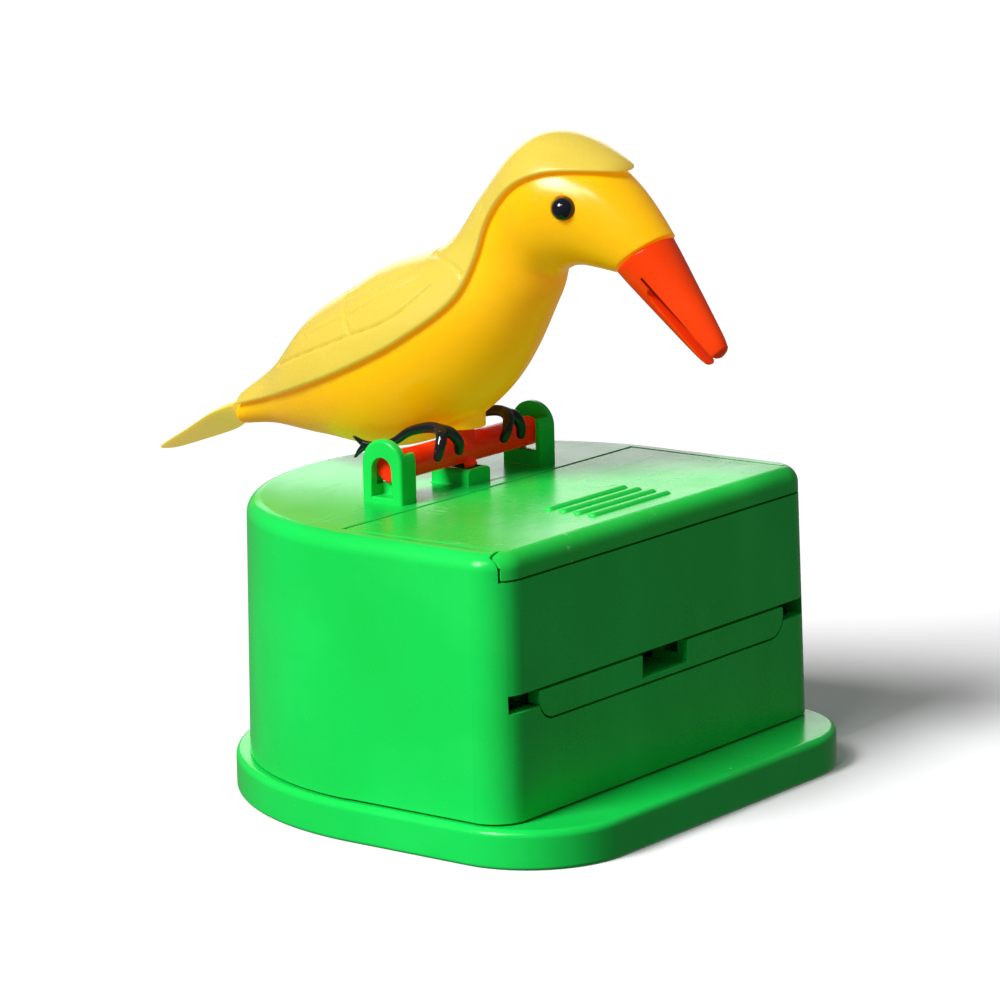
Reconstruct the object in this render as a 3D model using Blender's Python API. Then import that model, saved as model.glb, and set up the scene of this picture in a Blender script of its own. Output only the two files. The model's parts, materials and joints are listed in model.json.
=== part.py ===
"""Toothpick dispenser with a bowing bird, every piece as its own closed solid.

Units are metres, +Z is up and the slot faces -Y. The origin is the centre of the base's
underside. Pressing the bird's head turns the perch rod; a nose on the rod pushes a rocker inside
the case, and the rocker's lower finger slides the tray forward with one toothpick in its groove.
"""
import math

import bmesh
import bpy
from mathutils import Matrix, Vector

MM = 0.001
GAP = 0.3 * MM                      # clearance between neighbours

# Case and base: a rounded rectangle in front, half an ellipse behind
BODY_WIDTH = 73.5 * MM
BODY_LENGTH = 63.0 * MM
BODY_TOP = 41.05 * MM
BODY_WALL = 2.0 * MM
BODY_CORNER = 5.0 * MM
BODY_STRAIGHT = 25.5 * MM           # straight side, from the front face to the ellipse
BODY_TOP_FILLET = 2.3 * MM
DRAFT = 0.0162                      # inward lean of every wall, per unit of height
BASE_THICKNESS = 5.3 * MM
BASE_TOE = 8.8 * MM                 # how far the base stands out in front
BASE_SIDE = 1.0 * MM
BASE_HEEL = 2.5 * MM
BASE_CORNER = 14.4 * MM
BASE_ROUND = 1.0 * MM

# Lid
LID_HALF_WIDTH = 32.2 * MM
LID_LENGTH = 28.8 * MM
LID_PLATE = 1.8 * MM
LIP_HALF_WIDTH = 34.2 * MM
LIP_DEPTH = 3.0 * MM
RAIL_OUT = 1.6 * MM
RAIL_HEIGHT = 1.1 * MM
RAIL_DROP = 0.5 * MM                # web between the plate and the rail's top
RAIL_LEDGE = 1.2 * MM
LIP_PAST_RAIL = 0.05 * MM            # how far the lip reaches below the rails
RIB_COUNT = 4
RIB_STEP = 2.4 * MM
RIB_START = 3.0 * MM                # first rib, behind the lip
RIB_HALF_WIDTH = 9.0 * MM
RIB_RADIUS = 0.9 * MM
RIB_SINK = 0.5 * MM

# Slot and tray
TOOTHPICK_LENGTH = 65.0 * MM
TOOTHPICK_DIAMETER = 2.0 * MM
SLOT_END_PLAY = 1.5 * MM
TRAY_HALF_WIDTH = 28.2 * MM
TRAY_BOTTOM = 18.1 * MM
TRAY_HEIGHT = 3.9 * MM
TRAY_CORNER = 3.0 * MM
TRAY_LIP = 1.9 * MM
TRAY_GROOVE = 2.4 * MM
TRAY_DECK = 1.8 * MM
TRAY_DECK_LENGTH = 16.0 * MM
TRAY_GAP_HALF = 5.2 * MM            # beak's way in, at the middle
TRAY_FLOOR = 0.8 * MM
TRAY_SETBACK = 0.35 * MM
TRAY_TRAVEL = 6.9 * MM
SKID_WIDTH = 2.2 * MM
TONGUE_HALF_WIDTH = 4.5 * MM
TONGUE_THICKNESS = 1.8 * MM

# Perch, relative heights above the case
PERCH_RISE = 4.65 * MM
PERCH_BACK = 34.6 * MM              # perch axis, behind the front face
ROD_RADIUS = 2.05 * MM
EAR_INNER = 13.9 * MM
EAR_OUTER = 17.4 * MM
EAR_PLATE = 1.2 * MM
EAR_HALF_DEPTH = 3.42 * MM
EAR_RISE = 8.75 * MM
EAR_CHEEK_RISE = 6.75 * MM
WINDOW_HALF = 1.7 * MM
WINDOW_LOW = 0.85 * MM
WINDOW_HIGH = 6.35 * MM
BLOCK_HALF_WIDTH = 2.45 * MM
BLOCK_HALF_DEPTH = 3.22 * MM
BLOCK_CORNER = 0.8 * MM
BLOCK_HOLE_WIDTH = 1.5 * MM
BLOCK_HOLE_DEPTH = 2.55 * MM

# Bow linkage
BOW_DEG = 55.0
ROCKER_DEG = 22.8
PIVOT_DROP = 9.3 * MM               # rocker's pin, below the perch axis
NOSE_REACH = 2.9 * MM
NOSE_HALF = 0.5 * MM
NOSE_OFFSET = 0.65 * MM
DRIVE_HALF_WIDTH = 0.9 * MM
FINGER_REACH = 6.4 * MM
HUB_RADIUS = 2.3 * MM
HUB_HALF_WIDTH = 1.2 * MM
PIN_RADIUS = 1.0 * MM
PIN_HALF_LENGTH = 3.8 * MM
LUG_THICKNESS = 1.7 * MM
LUG_HALF_DEPTH = 2.5 * MM
LOWER_HALF = 0.9 * MM
LOWER_OVERRUN = 1.3 * MM
SPRING_ARM = 11.0 * MM
SPRING_ARM_LEAN_DEG = -15.0
SPRING_ARM_HALF = 0.8 * MM
SPRING_PAD_RADIUS = 2.9 * MM
SPRING_RADIUS = 2.2 * MM
SPRING_WIRE = 0.35 * MM
SPRING_TURNS = 6
SPRING_HEIGHT = 12.0 * MM
SPIGOT_RADIUS = 1.3 * MM
SPIGOT_HEIGHT = 2.6 * MM

# Hopper chute
CHUTE_FLOOR = 1.3 * MM
CHUTE_SLOPE = 0.30
CHUTE_PLAY = 0.6 * MM
CHUTE_CHEEK = 1.6 * MM
CHUTE_LEDGE = 2.6 * MM
CHUTE_DROP = 2.5 * MM
CHUTE_WALL = 1.5 * MM

# Base screws
SCREW_RADIUS = 1.2 * MM
SCREW_HEAD_RADIUS = 2.3 * MM
SCREW_HEAD = 1.6 * MM
SCREW_SLOT_HALF = 0.35 * MM
SCREW_SLOT_DEPTH = 0.7 * MM
SCREW_LENGTH = 9.0 * MM
POST_RADIUS = 2.8 * MM
POST_HEIGHT = 9.5 * MM
FRONT_POST_BACK = 13.5 * MM
REAR_POST_DEG = 50.0

# Bird
SHELL_WALL = 1.6 * MM
BACK_SKIN = 0.9 * MM
BEAK_LENGTH = 17.6 * MM
BEAK_DROP_DEG = 48.0
BEAK_BASE_HALF = 4.35 * MM
BEAK_PLUG = 2.6 * MM
BEAK_PLUG_HALF = 2.7 * MM
SLIT_START = 7.0 * MM
SLIT_HALF = 0.6 * MM
SLIT_OFFSET = 0.7 * MM              # towards the beak's lower side
EYE_RADIUS = 1.6 * MM
EYE_SIDE = 6.75 * MM
EYE_AHEAD = 23.4 * MM
EYE_RISE = 35.8 * MM
PEG_RADIUS = 2.0 * MM
PEG_TOP = 8.0 * MM
PEG_BORE_DEPTH = 4.5 * MM
BOSS_RADIUS = 3.6 * MM
SCREW_WAY_HALF = 4.5 * MM           # opening under the back shell
BIRD_SCREW_RADIUS = 0.8 * MM
BIRD_SCREW_HEAD = 3.1 * MM
BIRD_SCREW_HEIGHT = 1.2 * MM
FOOT_OFFSET = 7.35 * MM
FOOT_HALF_WIDTH = 1.0 * MM
FOOT_THICKNESS = 1.5 * MM
TOE_THICKNESS = 1.4 * MM
TOE_HALF = 0.55 * MM
TOE_SPREAD_DEG = 24.0
CLAW_HALF = 0.6 * MM

# Dependent sizes
FRONT = BASE_TOE - (BASE_TOE + BODY_LENGTH + BASE_HEEL) / 2
BODY_BOTTOM = BASE_THICKNESS + GAP
SIDE_END = FRONT + BODY_STRAIGHT
PERCH = Vector((0.0, FRONT + PERCH_BACK, BODY_TOP + PERCH_RISE))
PIVOT = PERCH - Vector((0.0, 0.0, PIVOT_DROP))
REST_LEAN = math.radians(ROCKER_DEG) / 2
TRAY_TOP = TRAY_BOTTOM + TRAY_HEIGHT
TRAY_FRONT = FRONT + TRAY_SETBACK
TONGUE_MID = TRAY_BOTTOM + TONGUE_THICKNESS / 2
LOWER_REACH = PIVOT.z - TONGUE_MID
SLOT_HALF = TOOTHPICK_LENGTH / 2 + SLOT_END_PLAY
GROOVE_FLOOR = TRAY_TOP - TOOTHPICK_DIAMETER
SLOT_TOP = TRAY_TOP + 0.4 * MM
LID_BACK = FRONT + LID_LENGTH + GAP
LIP_HEIGHT = LID_PLATE + RAIL_DROP + RAIL_HEIGHT + LIP_PAST_RAIL
FRONT_WALL_TOP = BODY_TOP - LIP_HEIGHT - GAP
CHUTE_FRONT = TRAY_FRONT + TRAY_LIP + TRAY_GROOVE + GAP
CHUTE_BACK = FRONT + LID_LENGTH
CHUTE_BOTTOM = TRAY_BOTTOM - CHUTE_DROP

# The bird's sections, from the beak's joint to the tail, relative to the perch axis:
# back, up, half-height, half-width (mm) and the lean of the section's top, in degrees from +Y
BIRD_SECTIONS = (
    (-31.7, 29.6, 4.7, 4.5, 144),
    (-24.4, 34.3, 7.2, 6.7, 106),
    (-17.8, 35.2, 8.6, 8.0, 80),
    (-12.9, 31.1, 7.2, 6.9, 49),
    (-8.9, 25.2, 7.9, 7.7, 29),
    (0.6, 16.4, 11.1, 11.1, 50),
    (10.8, 10.9, 11.4, 11.4, 75),
    (22.7, 8.2, 8.3, 8.3, 88),
    (31.8, 4.4, 4.0, 4.0, 97),
    (38.6, 1.5, 1.7, 2.3, 88),
)

# Lower edge of the crown and back shell in side view, relative to the perch axis (mm)
PARTING_EDGE = (
    (-31.6, 39.9), (-26.6, 40.6), (-20.2, 40.3), (-15.1, 38.0), (-11.1, 33.9), (-9.3, 28.3),
    (-7.6, 24.1), (-5.3, 21.3), (-1.1, 18.1), (4.4, 14.9), (12.4, 10.9), (21.4, 8.6), (30.9, 4.6),
    (40.0, 2.4),
)

# Tail blade: back, height of the top, half-width and keel depth, relative to the perch axis (mm)
TAIL_SECTIONS = (
    (39.0, 3.1, 2.9, 3.3), (41.0, 2.2, 5.2, 3.7), (47.0, -1.2, 4.1, 2.4), (52.0, -3.7, 2.3, 1.5),
    (55.0, -5.2, 0.6, 0.5),
)

# Tail's cross-section, in shares of its half-width and keel depth
TAIL_SHAPE = (
    (-1.0, -0.12), (-0.55, 0.0), (0.0, 0.0), (0.55, 0.0), (1.0, -0.12), (0.5, -0.6), (0.0, -1.0),
    (-0.5, -0.6),
)

# Beak: share of its length, then of its half-height and half-width at the joint
BEAK_STAGES = (
    (-0.30, 1.0, 1.0), (0.0, 1.0, 1.0), (0.5, 0.76, 0.68), (0.86, 0.56, 0.44), (0.96, 0.47, 0.36),
    (1.0, 0.30, 0.22),
)

# Hind claw in side view, relative to the perch axis (mm)
CLAW_OUTLINE = (
    (1.6, 3.3), (1.6, 2.1), (5.5, 0.4), (10.6, -1.4), (11.2, -0.7), (9.9, 0.2), (11.0, 1.3),
    (10.3, 1.5), (8.0, 0.9), (4.5, 2.0),
)

COLORS = {
    "green": (0.012, 0.42, 0.055, 1.0),
    "yellow": (0.90, 0.53, 0.02, 1.0),
    "pale_yellow": (0.92, 0.70, 0.12, 1.0),
    "orange": (0.90, 0.09, 0.005, 1.0),
    "red": (0.75, 0.02, 0.004, 1.0),
    "black": (0.01, 0.01, 0.013, 1.0),
    "steel": (0.60, 0.60, 0.62, 1.0),
    "white": (0.80, 0.80, 0.78, 1.0),
}


def clear_scene():
    for obj in list(bpy.data.objects):
        bpy.data.objects.remove(obj, do_unlink=True)


def material(name, color, roughness, metallic=0.0):
    mat = bpy.data.materials.new(name)
    mat.use_nodes = True
    shader = mat.node_tree.nodes["Principled BSDF"]
    shader.inputs["Base Color"].default_value = COLORS[color]
    shader.inputs["Roughness"].default_value = roughness
    shader.inputs["Metallic"].default_value = metallic
    return mat


def add_object(name, bm, origin=Vector()):
    """Turn a bmesh in world coordinates into an object whose origin is the given point."""
    bmesh.ops.recalc_face_normals(bm, faces=bm.faces[:])
    bmesh.ops.translate(bm, verts=bm.verts[:], vec=-origin)
    mesh = bpy.data.meshes.new(name)
    bm.to_mesh(mesh)
    bm.free()
    mesh.shade_smooth()
    mesh.set_sharp_from_angle(angle=math.radians(35))
    obj = bpy.data.objects.new(name, mesh)
    obj.location = origin
    bpy.context.scene.collection.objects.link(obj)
    return obj


def solid(name, bm, color, roughness=0.3, metallic=0.0, origin=Vector()):
    obj = add_object(name, bm, origin)
    obj.data.materials.append(material(name + "_finish", color, roughness, metallic))
    return obj


def combine(target, bm, operation):
    """Add a live Boolean to target, with bm as its hidden operand."""
    tool = add_object(f"{target.name}_{operation.lower()}_{len(target.modifiers)}", bm)
    tool.hide_render = True
    tool.display_type = "WIRE"
    modifier = target.modifiers.new(operation.title(), "BOOLEAN")
    modifier.operation = operation
    modifier.solver = "EXACT"
    modifier.object = tool


def box(bm, x, y, z):
    """Add a box given its low and high coordinate on each axis."""
    size = Vector((x[1] - x[0], y[1] - y[0], z[1] - z[0]))
    centre = Vector((x[0] + x[1], y[0] + y[1], z[0] + z[1])) / 2
    matrix = Matrix.Translation(centre) @ Matrix.Diagonal((*size, 1.0))
    bmesh.ops.create_cube(bm, size=1.0, matrix=matrix)


def box_mesh(x, y, z):
    bm = bmesh.new()
    box(bm, x, y, z)
    return bm


def cylinder(bm, axis, centre, radius, length, segments=24):
    """Add a cylinder centred on a point, its length along X, Y or Z."""
    turn = {
        "X": Matrix.Rotation(math.pi / 2, 4, "Y"),
        "Y": Matrix.Rotation(-math.pi / 2, 4, "X"),
        "Z": Matrix.Identity(4),
    }[axis]
    bmesh.ops.create_cone(
        bm, cap_ends=True, segments=segments, radius1=radius, radius2=radius, depth=length,
        matrix=Matrix.Translation(centre) @ turn,
    )


def place(axis, along, first, second):
    """Point from its coordinate along an axis and the two others, in X, Y, Z order."""
    if axis == "X":
        return Vector((along, first, second))
    if axis == "Y":
        return Vector((first, along, second))
    return Vector((first, second, along))


def prism(bm, outline, axis, low, high):
    """Extrude a closed outline along an axis; the outline holds the other two coordinates."""
    corners = [bm.verts.new(place(axis, low, *point)) for point in outline]
    face = bm.faces.new(corners)
    extruded = bmesh.ops.extrude_face_region(bm, geom=[face])["geom"]
    moved = [item for item in extruded if isinstance(item, bmesh.types.BMVert)]
    bmesh.ops.translate(bm, verts=moved, vec=place(axis, high - low, 0.0, 0.0))


def prism_mesh(outline, axis, low, high):
    bm = bmesh.new()
    prism(bm, outline, axis, low, high)
    return bm


def loft(bm, rings):
    """Bridge closed rings of points and cap both ends."""
    loops = []
    for ring in rings:
        verts = [bm.verts.new(point) for point in ring]
        edges = [bm.edges.new((verts[i - 1], verts[i])) for i in range(len(verts))]
        loops.append((verts, edges))
    for (_, near), (_, far) in zip(loops, loops[1:]):
        bmesh.ops.bridge_loops(bm, edges=near + far)
    for verts, _ in (loops[0], loops[-1]):
        bm.faces.new(verts)


def arc(centre, radius, start_deg, end_deg, steps):
    """Points on a circle in two coordinates, both ends included."""
    angles = [start_deg + (end_deg - start_deg) * i / steps for i in range(steps + 1)]
    return [
        (centre[0] + radius * math.cos(math.radians(a)), centre[1] + radius * math.sin(math.radians(a)))
        for a in angles
    ]


def smooth_path(points, position):
    """Catmull-Rom value at a position from 0, the first point, to 1, the last."""
    scaled = position * (len(points) - 1)
    index = min(int(scaled), len(points) - 2)
    t = scaled - index
    before = points[max(index - 1, 0)]
    start, end = points[index], points[index + 1]
    after = points[min(index + 2, len(points) - 1)]
    values = []
    for a, b, c, d in zip(before, start, end, after):
        square = (2 * a - 5 * b + 4 * c - d) * t ** 2
        cube = (3 * b - a - 3 * c + d) * t ** 3
        values.append(0.5 * (2 * b + (c - a) * t + square + cube))
    return values


def d_ring(half_width, front, corner, side_end, back, z):
    """Plan outline with two rounded front corners and a half-elliptical back."""
    ring = arc((-half_width + corner, front + corner), corner, 180, 270, 6)
    ring += arc((half_width - corner, front + corner), corner, 270, 360, 6)
    for i in range(29):
        angle = math.pi * i / 28
        ring.append((half_width * math.cos(angle), side_end + (back - side_end) * math.sin(angle)))
    return [Vector((x, y, z)) for x, y in ring]


def case_ring(z, inset):
    lean = DRAFT * z
    return d_ring(
        BODY_WIDTH / 2 - lean - inset, FRONT + lean + inset, BODY_CORNER - inset,
        SIDE_END, FRONT + BODY_LENGTH - lean - inset, z,
    )


def case_outside():
    """The case's outer block, with its rounded top edge."""
    rings = [case_ring(BODY_BOTTOM, 0.0)]
    steps = 4
    for i in range(steps + 1):
        angle = math.pi / 2 * i / steps
        rise = BODY_TOP_FILLET * math.sin(angle)
        inset = BODY_TOP_FILLET * (1 - math.cos(angle))
        rings.append(case_ring(BODY_TOP - BODY_TOP_FILLET + rise, inset))
    bm = bmesh.new()
    loft(bm, rings)
    return bm


def screw_places():
    """Plan positions of the four base screws."""
    front_x = BODY_WIDTH / 2 - BODY_WALL - POST_RADIUS
    angle = math.radians(REAR_POST_DEG)
    rear_x = (BODY_WIDTH / 2 - BODY_WALL - POST_RADIUS / 2) * math.cos(angle)
    rear_depth = FRONT + BODY_LENGTH - SIDE_END - BODY_WALL - POST_RADIUS / 2
    rear_y = SIDE_END + rear_depth * math.sin(angle)
    return [
        (-front_x, FRONT + FRONT_POST_BACK), (front_x, FRONT + FRONT_POST_BACK),
        (-rear_x, rear_y), (rear_x, rear_y),
    ]


def build_base_plate():
    half = BODY_WIDTH / 2 + BASE_SIDE
    back = FRONT + BODY_LENGTH + BASE_HEEL

    def ring(z, inset):
        ahead = FRONT - BASE_TOE + inset
        return d_ring(half - inset, ahead, BASE_CORNER - inset, SIDE_END, back - inset, z)

    bm = bmesh.new()
    rings = [ring(0.0, BASE_ROUND / 2), ring(BASE_ROUND / 2, 0.0)]
    for i in range(4):
        angle = math.pi / 2 * i / 3
        rise = BASE_ROUND * math.sin(angle)
        rings.append(ring(BASE_THICKNESS - BASE_ROUND + rise, BASE_ROUND * (1 - math.cos(angle))))
    loft(bm, rings)
    plate = solid("base_plate", bm, "green")
    spring_y, spring_low = spring_seat()
    tower = bmesh.new()
    tower_low = BASE_THICKNESS / 2
    tower_top = spring_low - GAP
    tower_middle = (0, spring_y, (tower_low + tower_top) / 2)
    cylinder(tower, "Z", tower_middle, SPRING_PAD_RADIUS, tower_top - tower_low)
    combine(plate, tower, "UNION")
    spigot = bmesh.new()
    cylinder(spigot, "Z", (0, spring_y, spring_low), SPIGOT_RADIUS, 2 * SPIGOT_HEIGHT, 16)
    combine(plate, spigot, "UNION")
    for x, y in screw_places():
        hole = bmesh.new()
        cylinder(hole, "Z", (x, y, 0), SCREW_RADIUS + GAP, 4 * BASE_THICKNESS, 16)
        combine(plate, hole, "DIFFERENCE")
        seat = bmesh.new()
        cylinder(seat, "Z", (x, y, 0), SCREW_HEAD_RADIUS + GAP, 2 * (SCREW_HEAD + 2 * GAP), 20)
        combine(plate, seat, "DIFFERENCE")


def build_base_screws():
    """Four self-tapping screws from below, their heads sunk into the base."""
    corners = ("front_left", "front_right", "rear_left", "rear_right")
    for corner, (x, y) in zip(corners, screw_places()):
        bm = bmesh.new()
        cylinder(bm, "Z", (x, y, GAP + SCREW_HEAD / 2), SCREW_HEAD_RADIUS, SCREW_HEAD, 20)
        screw = solid(f"base_screw_{corner}", bm, "steel", 0.3, 1.0)
        shank = bmesh.new()
        middle = GAP + SCREW_HEAD / 2 + SCREW_LENGTH / 2
        cylinder(shank, "Z", (x, y, middle), SCREW_RADIUS, SCREW_LENGTH, 12)
        combine(screw, shank, "UNION")
        long, narrow = SCREW_HEAD_RADIUS * 0.65, SCREW_SLOT_HALF
        for half_x, half_y in ((long, narrow), (narrow, long)):
            slot_z = (-MM, GAP + SCREW_SLOT_DEPTH)
            slot = box_mesh((x - half_x, x + half_x), (y - half_y, y + half_y), slot_z)
            combine(screw, slot, "DIFFERENCE")


def spring_seat():
    """Where the return spring stands: its Y and the height of its lower end."""
    angle = REST_LEAN + math.radians(SPRING_ARM_LEAN_DEG)
    pad_y = PIVOT.y + SPRING_ARM * math.cos(angle)
    pad_low = PIVOT.z + SPRING_ARM * math.sin(angle) - SPRING_ARM_HALF
    return pad_y, pad_low - 2 * GAP - SPRING_HEIGHT


def ear_outline(half_depth, low, high):
    """Arched outline in Y and Z: straight sides and a half-round top."""
    centre = (PERCH.y, high - half_depth)
    return [(PERCH.y - half_depth, low), (PERCH.y + half_depth, low)] + arc(centre, half_depth, 0, 180, 12)


def mirror_spans(low, high):
    return [(-high, -low), (low, high)]


def build_case_shell():
    case = solid("case_shell", case_outside(), "green")
    inside = bmesh.new()
    ceiling = BODY_TOP - BODY_WALL
    loft(inside, [case_ring(BODY_BOTTOM - 2 * MM, BODY_WALL), case_ring(ceiling, BODY_WALL)])
    combine(case, inside, "DIFFERENCE")
    add_case_features(case)
    cut_case_openings(case)


def add_case_features(case):
    """Screw posts, lid ledges, pivot lugs, perch ears and the rod's centre block."""
    wall_mid = BODY_TOP - BODY_WALL / 2
    for x, y in screw_places():
        post = bmesh.new()
        cylinder(post, "Z", (x, y, BODY_BOTTOM + POST_HEIGHT / 2), POST_RADIUS, POST_HEIGHT, 20)
        combine(case, post, "UNION")
    rail_half = LID_HALF_WIDTH + RAIL_OUT
    ledge_top = BODY_TOP - LID_PLATE - RAIL_DROP - RAIL_HEIGHT - GAP
    for x in mirror_spans(rail_half - 0.7 * MM, BODY_WIDTH / 2 - BODY_WALL + 0.3 * MM):
        ledge_back = CHUTE_BACK - CHUTE_WALL - 2 * GAP
        ledge_y = (FRONT + BODY_WALL + 2 * MM, ledge_back)
        ledge = box_mesh(x, ledge_y, (ledge_top - RAIL_LEDGE, ledge_top))
        combine(case, ledge, "UNION")
    lug_low = HUB_HALF_WIDTH + 0.5 * MM
    for x in mirror_spans(lug_low, lug_low + LUG_THICKNESS):
        lug = prism_mesh(lug_outline(wall_mid), "X", *x)
        combine(case, lug, "UNION")
    for x in mirror_spans(EAR_INNER, EAR_OUTER):
        ear = prism_mesh(ear_outline(EAR_HALF_DEPTH, wall_mid, BODY_TOP + EAR_RISE), "X", *x)
        combine(case, ear, "UNION")
    corner = BLOCK_CORNER
    block_top = PERCH.z - ROD_RADIUS - GAP
    outline = [(-BLOCK_HALF_WIDTH, wall_mid), (BLOCK_HALF_WIDTH, wall_mid)]
    outline += arc((BLOCK_HALF_WIDTH - corner, block_top - corner), corner, 0, 90, 3)
    outline += arc((-BLOCK_HALF_WIDTH + corner, block_top - corner), corner, 90, 180, 3)
    block = prism_mesh(outline, "Y", PERCH.y - BLOCK_HALF_DEPTH, PERCH.y + BLOCK_HALF_DEPTH)
    combine(case, block, "UNION")


def lug_outline(top):
    """Pivot lug in Y and Z: straight from the roof down to a round end about the pin."""
    outline = [(PIVOT.y + LUG_HALF_DEPTH, top), (PIVOT.y - LUG_HALF_DEPTH, top)]
    return outline + arc((PIVOT.y, PIVOT.z), LUG_HALF_DEPTH, 180, 360, 10)


def cut_case_openings(case):
    """Lid opening, toothpick slot, tray recess, rod channels, windows and holes."""
    ahead = FRONT - 5 * MM
    plate_half = LID_HALF_WIDTH + GAP
    lip_half = LIP_HALF_WIDTH + GAP
    lip_back = FRONT + LIP_DEPTH + GAP
    lid_outline = [
        (-lip_half, ahead), (lip_half, ahead), (lip_half, lip_back), (plate_half, lip_back),
        (plate_half, LID_BACK), (-plate_half, LID_BACK), (-plate_half, lip_back),
        (-lip_half, lip_back),
    ]
    combine(case, prism_mesh(lid_outline, "Z", FRONT_WALL_TOP, BODY_TOP + 5 * MM), "DIFFERENCE")
    rail_top = BODY_TOP - LID_PLATE - RAIL_DROP
    for x in mirror_spans(LID_HALF_WIDTH, LID_HALF_WIDTH + RAIL_OUT + GAP):
        rail_z = (rail_top - RAIL_HEIGHT - 0.2 * MM, rail_top + GAP)
        rail_way = box_mesh(x, (ahead, FRONT + BODY_CORNER + MM), rail_z)
        combine(case, rail_way, "DIFFERENCE")
    inward = FRONT + BODY_WALL + 3 * MM
    slot = box_mesh((-SLOT_HALF, SLOT_HALF), (ahead, inward), (GROOVE_FLOOR, SLOT_TOP))
    combine(case, slot, "DIFFERENCE")
    recess = tray_front_outline(GAP, SLOT_TOP - 0.05 * MM)
    combine(case, prism_mesh(recess, "Y", ahead, inward - 0.5 * MM), "DIFFERENCE")
    hole = box_mesh(
        (-BLOCK_HOLE_WIDTH, BLOCK_HOLE_WIDTH),
        (PERCH.y - BLOCK_HOLE_DEPTH, PERCH.y + BLOCK_HOLE_DEPTH),
        (BODY_TOP - 2 * BODY_WALL, PERCH.z),
    )
    combine(case, hole, "DIFFERENCE")
    channel_half = ROD_RADIUS + GAP
    cheek_top = BODY_TOP + EAR_CHEEK_RISE
    above = BODY_TOP + EAR_RISE + 3 * MM
    wide = EAR_HALF_DEPTH + 2 * MM
    y = PERCH.y
    channel = [
        (y - channel_half, PERCH.z - channel_half), (y + channel_half, PERCH.z - channel_half),
        (y + channel_half, cheek_top), (y + wide, cheek_top), (y + wide, above),
        (y - wide, above), (y - wide, cheek_top), (y - channel_half, cheek_top),
    ]
    for x in mirror_spans(EAR_INNER - 2 * MM, EAR_OUTER - EAR_PLATE):
        combine(case, prism_mesh(channel, "X", *x), "DIFFERENCE")
    window = ear_outline(WINDOW_HALF, BODY_TOP + WINDOW_LOW, BODY_TOP + WINDOW_HIGH)
    for x in mirror_spans(EAR_OUTER - 2 * EAR_PLATE, EAR_OUTER + 2 * MM):
        combine(case, prism_mesh(window, "X", *x), "DIFFERENCE")
    pin_hole = bmesh.new()
    cylinder(pin_hole, "X", PIVOT, PIN_RADIUS + GAP, 4 * PIN_HALF_LENGTH, 20)
    combine(case, pin_hole, "DIFFERENCE")
    for x, post_y in screw_places():
        bore = bmesh.new()
        depth = POST_HEIGHT - 1.5 * MM
        cylinder(bore, "Z", (x, post_y, BODY_BOTTOM), SCREW_RADIUS + GAP, 2 * depth, 16)
        combine(case, bore, "DIFFERENCE")


def tray_front_outline(grow, top):
    """Tray front in X and Z, with round lower corners; grow widens it all round."""
    half = TRAY_HALF_WIDTH + grow
    low = TRAY_BOTTOM - grow
    radius = TRAY_CORNER + grow
    outline = [(half, top), (-half, top)]
    outline += arc((-half + radius, low + radius), radius, 180, 270, 6)
    return outline + arc((half - radius, low + radius), radius, 270, 360, 6)


def build_lid():
    """Sliding lid: plate, rounded front lip and two rails that run under the case's edges."""
    lid = solid("lid", case_outside(), "green")
    ahead = FRONT - 5 * MM
    lip_back = FRONT + LIP_DEPTH
    back = FRONT + LID_LENGTH
    low = BODY_TOP - LID_PLATE
    outline = [
        (-LIP_HALF_WIDTH, ahead), (LIP_HALF_WIDTH, ahead), (LIP_HALF_WIDTH, lip_back),
        (LID_HALF_WIDTH, lip_back), (LID_HALF_WIDTH, back), (-LID_HALF_WIDTH, back),
        (-LID_HALF_WIDTH, lip_back), (-LIP_HALF_WIDTH, lip_back),
    ]
    lip_low = BODY_TOP - LIP_HEIGHT
    combine(lid, prism_mesh(outline, "Z", lip_low, BODY_TOP + 5 * MM), "INTERSECT")
    hollow_y = (lip_back - 1.2 * MM, BODY_LENGTH)
    hollow = box_mesh((-BODY_WIDTH, BODY_WIDTH), hollow_y, (lip_low - 5 * MM, low))
    combine(lid, hollow, "DIFFERENCE")
    rail_top = low - RAIL_DROP
    for side in (-1, 1):
        web_in = side * (LID_HALF_WIDTH - 1.4 * MM)
        web_out = side * (LID_HALF_WIDTH - 0.2 * MM)
        rail_out = side * (LID_HALF_WIDTH + RAIL_OUT)
        rail = [
            (web_in, low + 0.6 * MM), (web_out, low + 0.6 * MM), (web_out, rail_top),
            (rail_out, rail_top), (rail_out, rail_top - RAIL_HEIGHT),
            (web_in, rail_top - RAIL_HEIGHT),
        ]
        combine(lid, prism_mesh(rail, "Y", lip_back - 1.5 * MM, back - 0.4 * MM), "UNION")
    ribs = bmesh.new()
    for i in range(RIB_COUNT):
        rib_y = lip_back + RIB_START + RIB_STEP * i
        rib = arc((rib_y, BODY_TOP - RIB_SINK), RIB_RADIUS, 0, 180, 6)
        prism(ribs, rib, "X", -RIB_HALF_WIDTH, RIB_HALF_WIDTH)
    combine(lid, ribs, "UNION")


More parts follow.
